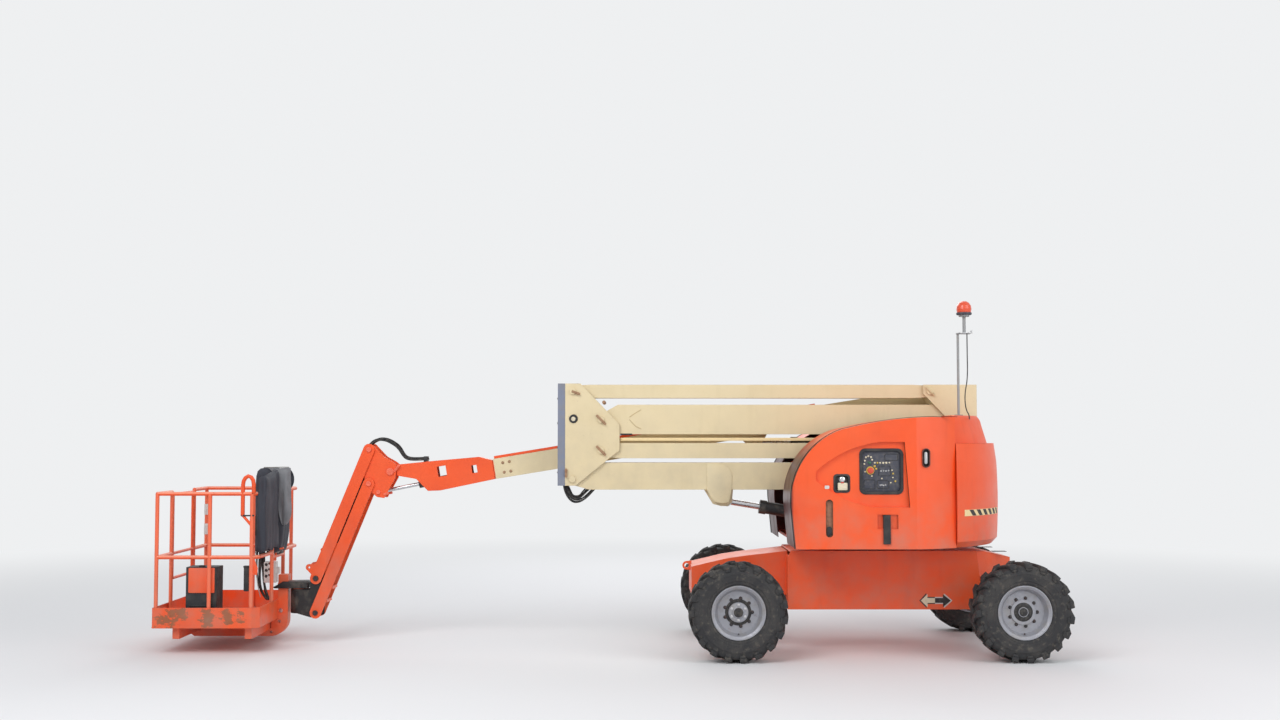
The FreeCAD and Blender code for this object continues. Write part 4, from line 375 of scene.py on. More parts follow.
SKINS = {name: plain_finish(name, *row) for name, *row in (
    # Columns: name, colour, roughness, wear, and where they aren't plain: metal, coat, tint
    ("grease", (30, 29, 31), 0.45, 0.25, 0.0, 0.1),
    ("worn_iron", (66, 64, 66), 0.5, 0.5, 0.5, 0.0, RUST),
    ("pale_steel", (196, 196, 198), 0.35, 0.35, 0.6),
    ("chrome", (214, 215, 218), 0.12, 0.1, 1.0),
    ("panel_grey", (58, 60, 72), 0.45, 0.25),
    ("gloss_black", (22, 22, 25), 0.2, 0.1, 0.0, 0.3),
    ("knob_cream", (226, 214, 186), 0.4, 0.3, 0.0, 0.1),
    ("knob_yellow", (214, 180, 72), 0.4, 0.3, 0.0, 0.1),
    ("knob_green", (48, 104, 74), 0.4, 0.2, 0.0, 0.1),
    ("knob_red", (206, 70, 46), 0.35, 0.15, 0.0, 0.2),
    ("grip_brown", (92, 44, 34), 0.55, 0.3),
    ("mesh_brown", (150, 108, 84), 0.7, 0.6, 0.0, 0.0, SOOT),
    ("pale_plate", (212, 208, 204), 0.5, 0.3),
    ("stripe_pale", (240, 214, 160), 0.5, 0.2),
    ("stripe_black", (40, 36, 38), 0.5, 0.2),
    ("hose_black", (30, 31, 34), 0.6, 0.35),
    ("hose_grey", (176, 176, 172), 0.6, 0.35, 0.0, 0.0, SOOT),
    ("rust_plate", (168, 134, 104), 0.8, 0.5, 0.0, 0.0, RUST),
    ("fray_cloth", (150, 148, 144), 0.9, 0.4, 0.0, 0.0, SOOT),
    ("faded_cream", (206, 186, 146), 0.55, 0.4, 0.0, 0.0, CREAM_DEEP),
    ("weld_cream", (200, 178, 136), 0.6, 0.3, 0.0, 0.0, CREAM_DEEP),
    ("faded_orange", (240, 112, 84), 0.5, 0.4, 0.0, 0.1, ORANGE[2]),
    ("rust_stain", (150, 74, 48), 0.85, 0.5, 0.0, 0.0, ORANGE[2]),
)}
SKINS["cover_cloth"] = cloth_finish("cover_cloth", (50, 52, 61), (76, 78, 88))
SKINS["flap_cloth"] = cloth_finish("flap_cloth", (120, 121, 125), (152, 152, 154))
for part in frame["record"]["subparts"]:
    painted = frame["nodes"][part["node"]].data.materials
    painted.clear()
    painted.append(MATERIALS.get(part["node"], MATERIALS[part["material_slot"]]))


# Shaping tools

def arc(first, through, last, steps):
    """Points of the circle through three places in a plane, without the first one."""
    (ax, ay), (bx, by), (cx, cy) = first, through, last
    twice = 2 * (ax * (by - cy) + bx * (cy - ay) + cx * (ay - by))
    a, b, c = ax * ax + ay * ay, bx * bx + by * by, cx * cx + cy * cy
    ux = (a * (by - cy) + b * (cy - ay) + c * (ay - by)) / twice
    uy = (a * (cx - bx) + b * (ax - cx) + c * (bx - ax)) / twice
    begin = math.atan2(ay - uy, ax - ux)
    half_way = (math.atan2(by - uy, bx - ux) - begin) % math.tau
    turn = (math.atan2(cy - uy, cx - ux) - begin) % math.tau
    if half_way > turn:
        turn -= math.tau
    size = math.hypot(ax - ux, ay - uy)
    return [(ux + size * math.cos(begin + turn * i / steps), uy + size * math.sin(begin + turn * i / steps))
            for i in range(1, steps + 1)]


def rounded(low, high, radius, steps=4):
    """A rectangle with round corners in a plane."""
    (x0, y0), (x1, y1) = low, high
    points = []
    for x, y, start in ((x1 - radius, y1 - radius, 0), (x0 + radius, y1 - radius, 90),
                        (x0 + radius, y0 + radius, 180), (x1 - radius, y0 + radius, 270)):
        for i in range(steps + 1):
            turn = math.radians(start + 90 * i / steps)
            points.append((x + radius * math.cos(turn), y + radius * math.sin(turn)))
    return points


def grown(low, high, by, radius):
    """The same, drawn outwards by a margin, or inwards where it is negative."""
    return rounded((low[0] - by, low[1] - by), (high[0] + by, high[1] + by), radius)


def spin(centre, radius, count, start=0.0):
    """Places evenly round a circle in a plane."""
    return [(centre[0] + radius * math.cos(math.tau * i / count + start),
             centre[1] + radius * math.sin(math.tau * i / count + start)) for i in range(count)]


def divided(points, count_for):
    """A closed outline with more points; count_for(index, a, b) says how many a side gets."""
    dense = []
    for k, (a, b) in enumerate(zip(points, points[1:] + points[:1])):
        steps = count_for(k, a, b)
        dense += [(a[0] + (b[0] - a[0]) * i / steps, a[1] + (b[1] - a[1]) * i / steps) for i in range(steps)]
    return dense


class Piece:
    """A mesh put together from closed forms, then dressed, bevelled and set to ride on a body."""

    def __init__(self, name, body, slot="black_plastic", skin=None):
        self.name, self.body, self.slot = name, body, slot
        self.skin = SKINS[skin] if skin else MATERIALS[slot]
        self.mesh = bmesh.new()

    def net(self, rows, closed=False, flip=False):
        """Joins rows of points into a thin skin."""
        made = [[self.mesh.verts.new(point) for point in row] for row in rows]
        for lower, upper in zip(made, made[1:]):
            if flip:
                lower, upper = upper, lower
            for i in range(len(lower) if closed else len(lower) - 1):
                j = (i + 1) % len(lower)
                self.mesh.faces.new((lower[i], lower[j], upper[j], upper[i]))
        return made

    def loops(self, rings, closed=False):
        """Skins rings of points that all have the same count, with an end cap at each end."""
        made = [[self.mesh.verts.new(point) for point in ring] for ring in rings]
        count = len(made[0])
        for lower, upper in list(zip(made, made[1:])) + ([(made[-1], made[0])] if closed else []):
            for i in range(count):
                j = (i + 1) % count
                self.mesh.faces.new((lower[i], lower[j], upper[j], upper[i]))
        if not closed:
            self.mesh.faces.new(made[0][::-1])
            self.mesh.faces.new(made[-1])
        return self

    def slab(self, points, span, plane="y"):
        """A plane outline thickened along an axis; the plane's axes are those of AXES."""
        u, v, w = AXES[plane]
        return self.loops([[u * a + v * b + w * level for a, b in points] for level in span])

    def box(self, x, y, z):
        return self.slab([(x[0], y[0]), (x[1], y[0]), (x[1], y[1]), (x[0], y[1])], z, "z")

    def band(self, outer, inner, span):
        """The band between two outlines in the side plane that have the same count of points."""
        return self.loops([[X * a + Z * b + Y * level for a, b in points] for points, level in (
            (outer, span[0]), (outer, span[1]), (inner, span[1]), (inner, span[0]))], closed=True)

    def lathe(self, centre, axis, section, steps=24, closed=False, out=1):
        """Turns rows of (along, radius) about an axis through a centre."""
        u, v, w = AXES[axis]
        centre = Vector(centre)
        rings = []
        for along, radius in section:
            radius = max(radius, 1e-5)
            rings.append([centre + w * (along * out) + u * (radius * math.cos(math.tau * i / steps))
                          + v * (radius * math.sin(math.tau * i / steps)) for i in range(steps)])
        return self.loops(rings, closed)

    def disc(self, centre, axis, radius, span, steps=20, out=1):
        return self.lathe(centre, axis, ((span[0], radius), (span[1], radius)), steps, out=out)

    def bolt(self, centre, axis, size, high):
        """A hexagon head on a washer, standing along an axis; high may be negative."""
        self.disc(centre, axis, size * 1.25, (0, high * 0.25), 16)
        return self.lathe(centre, axis, ((0, size), (high * 0.85, size), (high, size * 0.86)), 6)

    def pipe(self, points, radius, steps=12):
        """A round tube through places, mitred at its corners."""
        points = [Vector(point) for point in points]
        ways = [(b - a).normalized() for a, b in zip(points, points[1:])]
        side = ways[0].orthogonal().normalized()
        rings = []
        for i, point in enumerate(points):
            way = (ways[max(i - 1, 0)] + ways[min(i, len(ways) - 1)]).normalized()
            side = (side - way * side.dot(way)).normalized()
            up = way.cross(side)
            rings.append([point + side * (radius * math.cos(math.tau * k / steps))
                          + up * (radius * math.sin(math.tau * k / steps)) for k in range(steps)])
        return self.loops(rings)

    def done(self, bevel=0.0, segments=2, smooth=35, stands_for=()):
        bmesh.ops.recalc_face_normals(self.mesh, faces=self.mesh.faces)
        data = bpy.data.meshes.new(self.name)
        self.mesh.to_mesh(data)
        self.mesh.free()
        thing = dress(show(self.name, data), self.skin)
        if bevel:
            made = thing.modifiers.new("edges", "BEVEL")
            made.width = bevel
            made.segments = segments
            made.limit_method = "ANGLE"
            made.angle_limit = math.radians(32)
            made.harden_normals = False
        thing.modifiers.new("smooth", "EDGE_SPLIT").split_angle = math.radians(smooth)
        if stands_for:
            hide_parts(*stands_for)
        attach(thing, self.body)
        return thing

    def sheet(self, thick=0.0022, soft=0, stands_for=()):
        """Finishes a thin skin as a sheet of cloth."""
        area = sum(face.calc_area() for face in self.mesh.faces)
        thing = self.done(smooth=180, stands_for=stands_for)
        if soft:
            made = thing.modifiers.new("soft", "SUBSURF")
            made.levels = made.render_levels = soft
        thing.modifiers.new("thick", "SOLIDIFY").thickness = thick


def dress(thing, skin):
    thing.data.materials.clear()
    thing.data.materials.append(skin)
    for face in thing.data.polygons:
        face.use_smooth = True
    return thing


def hose(name, body, points, radius, end=None, skin="hose_black"):
    """A hose along a smooth line. Given an end, it is left fixed in place and rides on no body; otherwise it rides on
    the body.
    """
    line = bpy.data.curves.new(name, "CURVE")
    line.dimensions = "3D"
    spline = line.splines.new("NURBS")
    spline.points.add(len(points) - 1)
    for knot, point in zip(spline.points, points):
        knot.co = (*point, 1)
    spline.order_u = 3
    spline.use_endpoint_u = True
    spline.resolution_u = 6
    line.bevel_depth = radius
    line.bevel_resolution = 3
    line.use_fill_caps = True
    rough = show(name + "_line", line)
    bpy.context.view_layer.update()
    data = bpy.data.meshes.new_from_object(rough.evaluated_get(bpy.context.evaluated_depsgraph_get()))
    bpy.data.objects.remove(rough)
    thing = dress(show(name, data), SKINS[skin])
    if end:
        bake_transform(thing)
    else:
        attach(thing, body)


# Wheels

# Each wheel's kind of hub
WHEELS = {"rear_near": "drive", "rear_far": "drive", "front_near": "steer", "front_far": "steer"}
LUGS, TREAD_RADIUS = 19, 0.416
LUG_STATIONS = (
    # Columns: across the tyre from its middle, outer radius, root radius, half width along the tread, slant
    (0.147, 0.352, 0.338, 0.021, 0.00), (0.1545, 0.392, 0.366, 0.027, 0.00),
    (0.146, 0.413, 0.380, 0.029, 0.005), (0.098, 0.4155, 0.384, 0.026, 0.022),
    (0.040, 0.4155, 0.386, 0.024, 0.050), (-0.012, 0.4145, 0.386, 0.021, 0.078),
)
CARCASS = (
    # Columns: across the tyre from its middle, radius
    (0.110, 0.2295), (0.131, 0.2300), (0.139, 0.240), (0.1425, 0.249), (0.1405, 0.255), (0.146, 0.264),
    (0.1490, 0.268), (0.1480, 0.273), (0.1525, 0.290), (0.1535, 0.305), (0.1525, 0.318), (0.1545, 0.322),
    (0.1545, 0.327), (0.1515, 0.331), (0.1495, 0.345), (0.146, 0.360), (0.138, 0.378), (0.120, 0.388),
    (0.060, 0.391), (0.0, 0.392),
)
DISC_FACE, STUD_CIRCLE, STUDS = 0.061, 0.117, 9


def add_tyre(name, centre):
    made = Piece("tread_" + name, "wheel_" + name, "tyre")
    made.lathe(centre, "y", CARCASS + tuple((-across, radius) for across, radius in CARCASS[-2::-1]), 72, closed=True)
    for side, offset in ((1, 0.0), (-1, 0.5)):
        for i in range(LUGS):
            base = math.tau * (i + offset) / LUGS
            rings = []
            for across, outer, root, half_wide, slant in LUG_STATIONS:
                ring = []
                for radius, end in ((root, -1), (root, 1), (outer, 1), (outer, -1)):
                    wide = half_wide * (1.15 if radius == root else 1)
                    turn = base + slant / TREAD_RADIUS + end * wide / TREAD_RADIUS
                    ring.append(centre + Vector((radius * math.cos(turn), side * across, radius * math.sin(turn))))
                rings.append(ring)
            made.loops(rings)
    made.done(bevel=0.004, smooth=40, stands_for=("tyre_" + name,))


def add_hub(name, drive, centre, out):
    """The cap, nuts and valve on the outer face of a rim's disc."""
    body = "wheel_" + name
    disc = centre + Y * (DISC_FACE * out)
    studs = [(x, disc.y, z) for x, z in spin((disc.x, disc.z), STUD_CIRCLE, STUDS)]
    dirt = Piece("hub_grease_" + name, body, "rim", "grease")
    if drive:
        dirt.lathe(disc, "y", ((0.0008, 0.080), (0.0018, 0.084), (0.0018, 0.107), (0.0008, 0.111)), 36, out=out)
    for place in studs:
        dirt.disc(place, "y", 0.0155, (0.0006, 0.0022), 12, out)
    dirt.done(smooth=30)
    nuts = Piece("wheel_nuts_" + name, body, "rim", "worn_iron")
    for place in studs:
        nuts.lathe(place, "y", ((0.001, 0.0135), (0.004, 0.0135), (0.005, 0.0105), (0.020, 0.0105),
                                (0.0215, 0.009)), 6, out=out)
        nuts.disc(place, "y", 0.0055, (0.018, 0.030), 10, out)
    nuts.done(bevel=0.0008, segments=1)
    if drive:
        Piece("hub_cap_" + name, body, "rim").lathe(disc, "y", (
            (0.0262, 0.081), (0.030, 0.078), (0.030, 0.050), (0.0385, 0.046), (0.0385, 0.0)), 40,
            out=out).done(bevel=0.0015)
        bolts = Piece("hub_bolts_" + name, body, "rim", "pale_steel")
        for x, z in spin((disc.x, disc.z), 0.0645, 6, 0.5):
            bolts.bolt((x, disc.y + 0.030 * out, z), "y", 0.0105, 0.009 * out)
        bolts.done(bevel=0.0008, segments=1)
        Piece("hub_centre_" + name, body, "rim", "grease").lathe(disc, "y", (
            (0.038, 0.041), (0.041, 0.039), (0.041, 0.020), (0.046, 0.017), (0.046, 0.0)), 28,
            out=out).done(bevel=0.001)
    else:
        cap = Piece("hub_cap_" + name, body, "rim", "grease")
        cap.lathe(disc, "y", ((0.0005, 0.079), (0.0016, 0.079), (0.0030, 0.060), (0.0030, 0.042)), 36, out=out)
        cap.lathe(disc, "y", ((0.0142, 0.0), (0.0142, 0.036), (0.0165, 0.034), (0.0165, 0.0)), 28, out=out)
        cap.done(bevel=0.001)
    valve = Piece("valve_" + name, body, "rim", "worn_iron")
    foot = centre + Vector((0, (DISC_FACE + 0.020) * out, -0.176))
    valve.pipe((foot - Y * (0.022 * out) - Z * 0.008, foot + Y * (0.018 * out)), 0.0042)
    valve.disc(foot + Y * (0.016 * out), "y", 0.006, (0, 0.010), 10, out)
    valve.done(bevel=0.0005, segments=1)


# Hoods and the counterweight

RECESS = 0.030
HOOD_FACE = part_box("hood_near")[0].y
TAIL_RADIUS, WEIGHT_BULGE, WEIGHT_EDGE = 1.180, 0.035, 0.0245
WEIGHT_MIDDLE, WEIGHT_HALF = 1.32, 0.3385
STRIPE_LOW, STRIPE_HIGH = 1.208, 1.262
STRIPE_FIRST, STRIPE_LAST, STRIPE_WIDE, STRIPE_STEP, STRIPE_LEAN = (math.radians(a) for a in (20, 53, 2.6, 4.9, 2.2))
KNOBS = {
    # Columns: x and z from the window's lower left corner, radius, how far it stands out
    "cream": (
        (34, 268, 7, 9), (44, 296, 7, 9), (64, 306, 7, 9), (86, 298, 7, 9), (30, 240, 7, 9), (96, 276, 7, 9),
        (118, 250, 7, 9), (162, 250, 7, 9), (188, 250, 8, 9), (214, 250, 8, 9), (240, 252, 6, 8), (36, 176, 6, 8),
        (92, 140, 6, 8), (262, 188, 6, 8), (268, 128, 6, 8), (176, 120, 6, 7), (250, 84, 6, 7)),
    "green": ((76, 250, 10, 8), (62, 256, 6, 6)),
    "yellow": ((116, 222, 9, 10), (140, 250, 7, 9), (128, 200, 8, 10), (270, 160, 7, 9), (288, 96, 7, 9)),
}
TRIM = (
    # Columns: name, skin, left, low, right, high, corner, deepest, shallowest, bevel
    ("grip_pull", "pale_steel", 368, 1650, 394, 1752, 0.012, 0.030, 0.018, 0.002),
    ("grip_back", None, 340, 1616, 420, 1786, 0.036, 0.042, 0.034, 0.001),
    ("vent_back", "mesh_brown", -468, 1036, -396, 1362, 0.034, 0.026, 0.020, 0.001),
    ("vent_foot", None, -452, 1052, -412, 1130, 0.018, 0.022, 0.012, 0.001),
)


def add_hood_seal(name, face, out):
    """The black rubber along the hood's leading edge."""
    line = [at(-712, 942), at(-745, 1300)]
    line += arc(line[-1], at(-628, 1711), at(-324, 1938), 14)
    line = (line + arc(line[-1], at(60, 2015), at(655, 2041), 14))[:30]
    rings = []
    for i, (x, z) in enumerate(line):
        ahead, behind = line[min(i + 1, len(line) - 1)], line[max(i - 1, 0)]
        way = Vector((ahead[0] - behind[0], 0, ahead[1] - behind[1])).normalized()
        away = Vector((-way.z, 0, way.x))
        rings.append([Vector((x, face, z)) + away * rise - Y * (out * inward) for rise, inward in (
            (0.003, 0.058), (0.0065, 0.052), (0.0065, 0.078), (0.003, 0.082))])
    Piece("hood_seal_" + name, "hood_" + name).loops(rings).done(smooth=50)


def add_control_face():
    """The ground controls behind the near hood's window."""
    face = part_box("control_panel")[0].y
    front = face - 0.0026
    low, high = at(-162, 1410), at(178, 1767)
    floor = HOOD_FACE + RECESS

    def inside(x, z):
        return (low[0] + x / 1000, low[1] + z / 1000)

    Piece("window_frame", "hood_near").band(grown(low, high, 0.014, 0.048), grown(low, high, -0.010, 0.034),
                                            (floor - 0.007, floor + 0.012)).done(bevel=0.002)
    Piece("control_plate", "turntable", skin="panel_grey").slab(
        grown(low, high, -0.004, 0.026), (front, face)).done(bevel=0.0008)
    for kind, rows in KNOBS.items():
        made = Piece("panel_knobs_" + kind, "turntable", skin="knob_" + kind)
        for x, z, size, tall in rows:
            x, z = inside(x, z)
            made.lathe((x, front, z), "y", ((0, size / 900), (-tall / 2200, size / 900), (-tall / 2000, size / 1250),
                                            (-tall / 1000, size / 1350), (-tall / 900, size / 1800)), 14)
        made.done(bevel=0.0004, segments=1)
    stop = (low[0] + 0.080, front, low[1] + 0.186)
    Piece("panel_stop", "turntable", skin="knob_red").lathe(stop, "y", (
        (0, 0.013), (-0.012, 0.013), (-0.014, 0.026), (-0.020, 0.0265), (-0.025, 0.022), (-0.027, 0.012),
        (-0.0272, 0.0)), 28).done(bevel=0.001)
    Piece("panel_stop_ring", "turntable", skin="knob_yellow").disc(
        stop, "y", 0.034, (0, -0.0016), 28).done(bevel=0.0004, segments=1)
    trays = Piece("panel_recesses", "turntable", skin="gloss_black")
    for x0, z0, x1, z1 in ((24, 30, 120, 110), (134, 36, 236, 104), (150, 140, 250, 226), (200, 268, 312, 326)):
        trays.band(rounded(inside(x0, z0), inside(x1, z1), 0.010),
                   rounded(inside(x0 + 4, z0 + 4), inside(x1 - 4, z1 - 4), 0.007), (face - 0.0062, face - 0.002))
    trays.done(bevel=0.0008)
    levers = Piece("panel_switches", "turntable", skin="pale_steel")
    for x, z in ((162, 64), (176, 66), (190, 62), (206, 66), (170, 182), (190, 184), (210, 182), (232, 186)):
        x, z = inside(x, z)
        foot = Vector((x, front, z))
        levers.disc(foot, "y", 0.0065, (0, -0.004), 12)
        levers.pipe((foot - Y * 0.003, foot - Y * 0.017 + Z * 0.006), 0.0024, 8)
    levers.done(bevel=0.0003, segments=1)


def add_switch():
    """The master switch behind the near hood's small window."""
    low, high = (x0, z0), (x1, z1) = at(-386, 1418), at(-261, 1559)
    floor = HOOD_FACE + RECESS
    front = (floor + 0.004, floor + 0.021)
    centre = (x0 + x1) / 2 + 0.006
    Piece("switch_frame", "hood_near").band(grown(low, high, 0.008, 0.030), grown(low, high, -0.008, 0.020),
                                            (floor - 0.005, floor + 0.012)).done(bevel=0.0018)
    Piece("switch_pan", "hood_near").slab(
        grown(low, high, 0.004, 0.022), (floor + 0.020, floor + 0.026)).done(bevel=0.001)
    Piece("switch_key", "hood_near", skin="knob_cream").slab(
        rounded((x0 + 0.030, z0 + 0.012), (x1 - 0.012, z0 + 0.076), 0.009), front).done(bevel=0.004, segments=3)
    Piece("switch_knob", "hood_near", skin="chrome").lathe((centre, floor + 0.021, z1 - 0.036), "y", (
        (0, 0.028), (-0.008, 0.028), (-0.010, 0.024), (-0.018, 0.022), (-0.021, 0.015), (-0.022, 0)),
        28).done(bevel=0.001)
    Piece("switch_band", "hood_near", skin="knob_red").slab(
        rounded((centre - 0.012, z1 - 0.072), (centre + 0.012, z1 - 0.058), 0.003), front).done(bevel=0.001)


def add_hood_trim():
    """Liners behind the slots, and the small blank sticker."""
    for name, out in SIDES:
        body = "hood_" + name
        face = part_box(body)[max(out, 0)].y
        low, high = at(346, 1620), at(414, 1782)
        Piece("grip_liner_" + name, body, skin="grip_brown").band(
            rounded(low, high, 0.033), grown(low, high, -0.008, 0.025),
            (face + 0.002 * out, face - 0.020 * out)).done(bevel=0.0015)
        for label, skin, x0, z0, x1, z1, corner, deep, shallow, bevel in TRIM:
            Piece(f"{label}_{name}", body, skin=skin).slab(
                rounded(at(x0, z0), at(x1, z1), corner), (face - deep * out, face - shallow * out)).done(bevel=bevel)
        add_hood_seal(name, face, out)
    Piece("blank_sticker", "hood_near", "orange_shell", "pale_plate").slab(
        rounded(at(-470, 1444), at(-432, 1472), 0.006), (HOOD_FACE - 0.0006, HOOD_FACE + 0.001)).done()


def on_weight(side, turn, z, lift):
    """A place just off the counterweight's round face, whose radius follows its section's arc."""
    share = min(abs(z - WEIGHT_MIDDLE) / WEIGHT_HALF, 1.0)
    radius = TAIL_RADIUS + WEIGHT_BULGE - (WEIGHT_BULGE - WEIGHT_EDGE) * share * share + lift
    return Vector((SLEW.x + radius * math.cos(turn), SLEW.y + side * radius * math.sin(turn), z))


def add_stripes():
    """Slanted dark bands on a pale strip that follows the counterweight's round face."""
    strip = Piece("stripe_ground", "turntable", "weight_paint", "stripe_pale")
    bands = Piece("stripe_bands", "turntable", "weight_paint", "stripe_black")
    low, high = STRIPE_LOW, STRIPE_HIGH
    for side in (-1, 1):
        rings = []
        for i in range(33):
            turn = STRIPE_FIRST + (STRIPE_LAST - STRIPE_FIRST) * i / 32
            rings.append([on_weight(side, turn, z, lift) for z, lift in (
                (low, 0.0004), (high, 0.0004), (high, 0.0018), (low, 0.0018))])
        strip.loops(rings)
        turn = STRIPE_FIRST + math.radians(0.8)
        while turn + STRIPE_WIDE + STRIPE_LEAN < STRIPE_LAST:
            rings = []
            for k in range(7):
                z = low + 0.002 + (high - low - 0.004) * k / 6
                start = turn + STRIPE_LEAN * k / 6
                rings.append([on_weight(side, start + wide, z, lift) for wide, lift in (
                    (0, 0.0012), (STRIPE_WIDE, 0.0012), (STRIPE_WIDE, 0.0028), (0, 0.0028))])
            bands.loops(rings)
            turn += STRIPE_STEP
    strip.done()
    bands.done()


# Platform

RAIL_LOW, RAIL_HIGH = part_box("platform_rails")
POST_NEAR_Y, POST_HALF = RAIL_LOW.y + 0.017, 0.017
COVER_MIDDLE, COVER_POINTS = 130, 96
COVER_RINGS = (
    # Columns: height, left, right, half width across, corner radius, depth of the folds
    (846, -5502, -5268, 176, 52, 15), (872, -5503, -5266, 178, 54, 13), (930, -5503, -5256, 180, 56, 11),
    (1010, -5502, -5246, 181, 60, 9), (1100, -5502, -5242, 182, 64, 8), (1190, -5503, -5252, 182, 66, 7),
    (1280, -5504, -5268, 182, 66, 6), (1370, -5504, -5286, 181, 66, 5), (1450, -5503, -5302, 180, 62, 5),
    (1520, -5498, -5316, 178, 56, 4), (1566, -5486, -5326, 172, 48, 4), (1590, -5462, -5344, 156, 40, 3),
    (1598, -5428, -5368, 112, 26, 1),
)
# Columns: folds round the cover, start, depth, lean
COVER_FOLDS = ((5, 0.4, 0.34, 0.0021), (8, 2.1, 0.26, -0.0017), (13, 4.0, 0.20, 0.0011), (3, 1.1, 0.20, 0.0030))
SIDE_ROWS = (
    # Columns: height, left, right, near end, far end
    (886, -5338, -5262, -574, -92), (930, -5339, -5258, -582, -92), (1010, -5338, -5257, -586, -92),
    (1090, -5336, -5258, -589, -92), (1170, -5335, -5259, -590, -92), (1250, -5336, -5260, -590, -92),
    (1330, -5337, -5260, -588, -92), (1400, -5338, -5259, -585, -92), (1450, -5337, -5260, -580, -92),
    (1490, -5334, -5262, -574, -92), (1518, -5328, -5267, -562, -94), (1534, -5314, -5278, -540, -98),
)
# How many parts each long side of the side cloth's outline is divided into
SIDE_PARTS = {3: 3, 7: 12, 11: 3, 15: 12}
FLAP_ROWS = (
    # Columns: height, left edge, right edge, depth towards the camera
    (1600, -5400, -5192, -36), (1594, -5372, -5184, -50), (1560, -5334, -5180, -60), (1480, -5308, -5178, -61),
    (1390, -5292, -5176, -62), (1300, -5284, -5172, -62), (1210, -5279, -5163, -61), (1150, -5268, -5170, -58),
    (1100, -5254, -5194, -54), (1084, -5242, -5210, -52),
)
LINING_ROWS = (
    # Columns: height, right edge, reach, depth
    (1590, -5196, 26, -20), (1550, -5178, 40, -16), (1490, -5172, 46, -12), (1430, -5176, 36, -10),
    (1392, -5190, 12, -12),
)
CONSOLE_HOSES = (
    ((-5492, 60, 850), (-5500, 40, 700), (-5480, 50, 560), (-5440, 60, 440), (-5400, 80, 400)),
    ((-5476, 90, 850), (-5480, 80, 690), (-5470, 70, 560), (-5452, 90, 450), (-5404, 100, 396)),
    ((-5460, 40, 850), (-5452, 20, 720), (-5462, 30, 600), (-5448, 40, 470), (-5402, 60, 404)),
    ((-5446, 110, 850), (-5440, 120, 700), (-5436, 100, 560), (-5430, 110, 450), (-5398, 120, 392)),
    ((-5430, 60, 850), (-5428, 50, 740), (-5440, 60, 640), (-5424, 70, 500), (-5396, 84, 410)),
    ((-5470, 150, 850), (-5474, 160, 720), (-5460, 170, 600), (-5442, 160, 480), (-5400, 140, 398)),
)


def cover_ring(height, left, right, half, corner, fold):
    """One level of the cover: a rounded rectangle pulled into slack upright folds."""
    low, high = (left / 1000, (COVER_MIDDLE - half) / 1000), (right / 1000, (COVER_MIDDLE + half) / 1000)
    dense = divided(rounded(low, high, corner / 1000, 6), lambda k, a, b: max(1, int(math.dist(a, b) / 0.016)))
    lengths = [0.0]
    for a, b in zip(dense, dense[1:] + dense[:1]):
        lengths.append(lengths[-1] + math.dist(a, b))
    points, k = [], 0
    centre = Vector(((low[0] + high[0]) / 2, (low[1] + high[1]) / 2, 0))
    for i in range(COVER_POINTS):
        want = lengths[-1] * i / COVER_POINTS
        while lengths[k + 1] < want:
            k += 1
        a, b = dense[k], dense[(k + 1) % len(dense)]
        share = (want - lengths[k]) / max(lengths[k + 1] - lengths[k], 1e-9)
        place = Vector((a[0] + (b[0] - a[0]) * share, a[1] + (b[1] - a[1]) * share, 0))
        turn = math.tau * i / COVER_POINTS
        pull = sum(size * math.sin(times * turn + start + height * lean) for times, start, size, lean in COVER_FOLDS)
        inward = fold / 1000 * (0.5 - 0.5 * pull)
        points.append(Vector((SLEW.x, 0, height / 1000)) + place - (place - centre).normalized() * inward
                      + Z * (0.010 * math.sin(5 * turn + 1.0) if height < 860 else 0))
    return points


def add_cover():
    made = Piece("cover_cloth", "platform", "charcoal_fabric", "cover_cloth")
    rings = [cover_ring(*row) for row in COVER_RINGS]
    made.mesh.faces.new(made.net(rings, closed=True)[-1])
    made.sheet(stands_for=("console_cover",))
    hem = Piece("cover_hem", "platform", "charcoal_fabric", "fray_cloth")
    outer = [point + Z * 0.002 - Z * (0.006 + 0.006 * math.sin(i * 0.55) + 0.003 * math.sin(i * 1.7))
             for i, point in enumerate(rings[0])]
    inner = [point + Z * 0.020 + (point - middle("console")) * 0.004 for point in rings[0]]
    hem.net([outer, inner], closed=True)
    hem.sheet(thick=0.0016)
    add_flap()
    add_side()


def add_side():
    """The cover's spare width, thrown over the side rail as far as the corner hoop."""
    made = Piece("cover_side", "platform", "charcoal_fabric", "cover_cloth")
    rings = []
    for height, left, right, near, far in SIDE_ROWS:
        flat = rounded((left / 1000, near / 1000), (right / 1000, far / 1000), 0.018, 3)
        level = (height - 886) / 650
        sag = 0.034 * level ** 3
        ring = []
        for x, y in divided(flat, lambda k, a, b: SIDE_PARTS.get(k, 1)):
            share = (y - near / 1000) / ((far - near) / 1000)
            fold = (0.011 * math.sin(y * 27 + level * 3.1) * (0.4 + 0.6 * level)
                    + 0.007 * math.sin(y * 58 - level * 5.2 + 1.3) * (1.1 - 0.6 * level))
            end = max(0.0, 1 - share * 9)
            across = (x * 1000 - left) / (right - left)
            ring.append(Vector((
                SLEW.x + x + fold * (0.45 if across > 0.5 else -0.7) * (1 - 0.5 * end),
                y + end * (0.007 * math.sin(across * 7.0 + level * 6.0) + 0.010 * math.sin(level * 9.0)),
                height / 1000 - sag * math.sin(share * math.pi) + 0.050 * share * level ** 4
                + (0.012 * math.sin(y * 23) + 0.007 * math.sin(y * 61 + across * 4)) * (1 - level) ** 6)))
        rings.append(ring)
    made.mesh.faces.new(made.net(rings, closed=True)[-1])
    made.sheet()


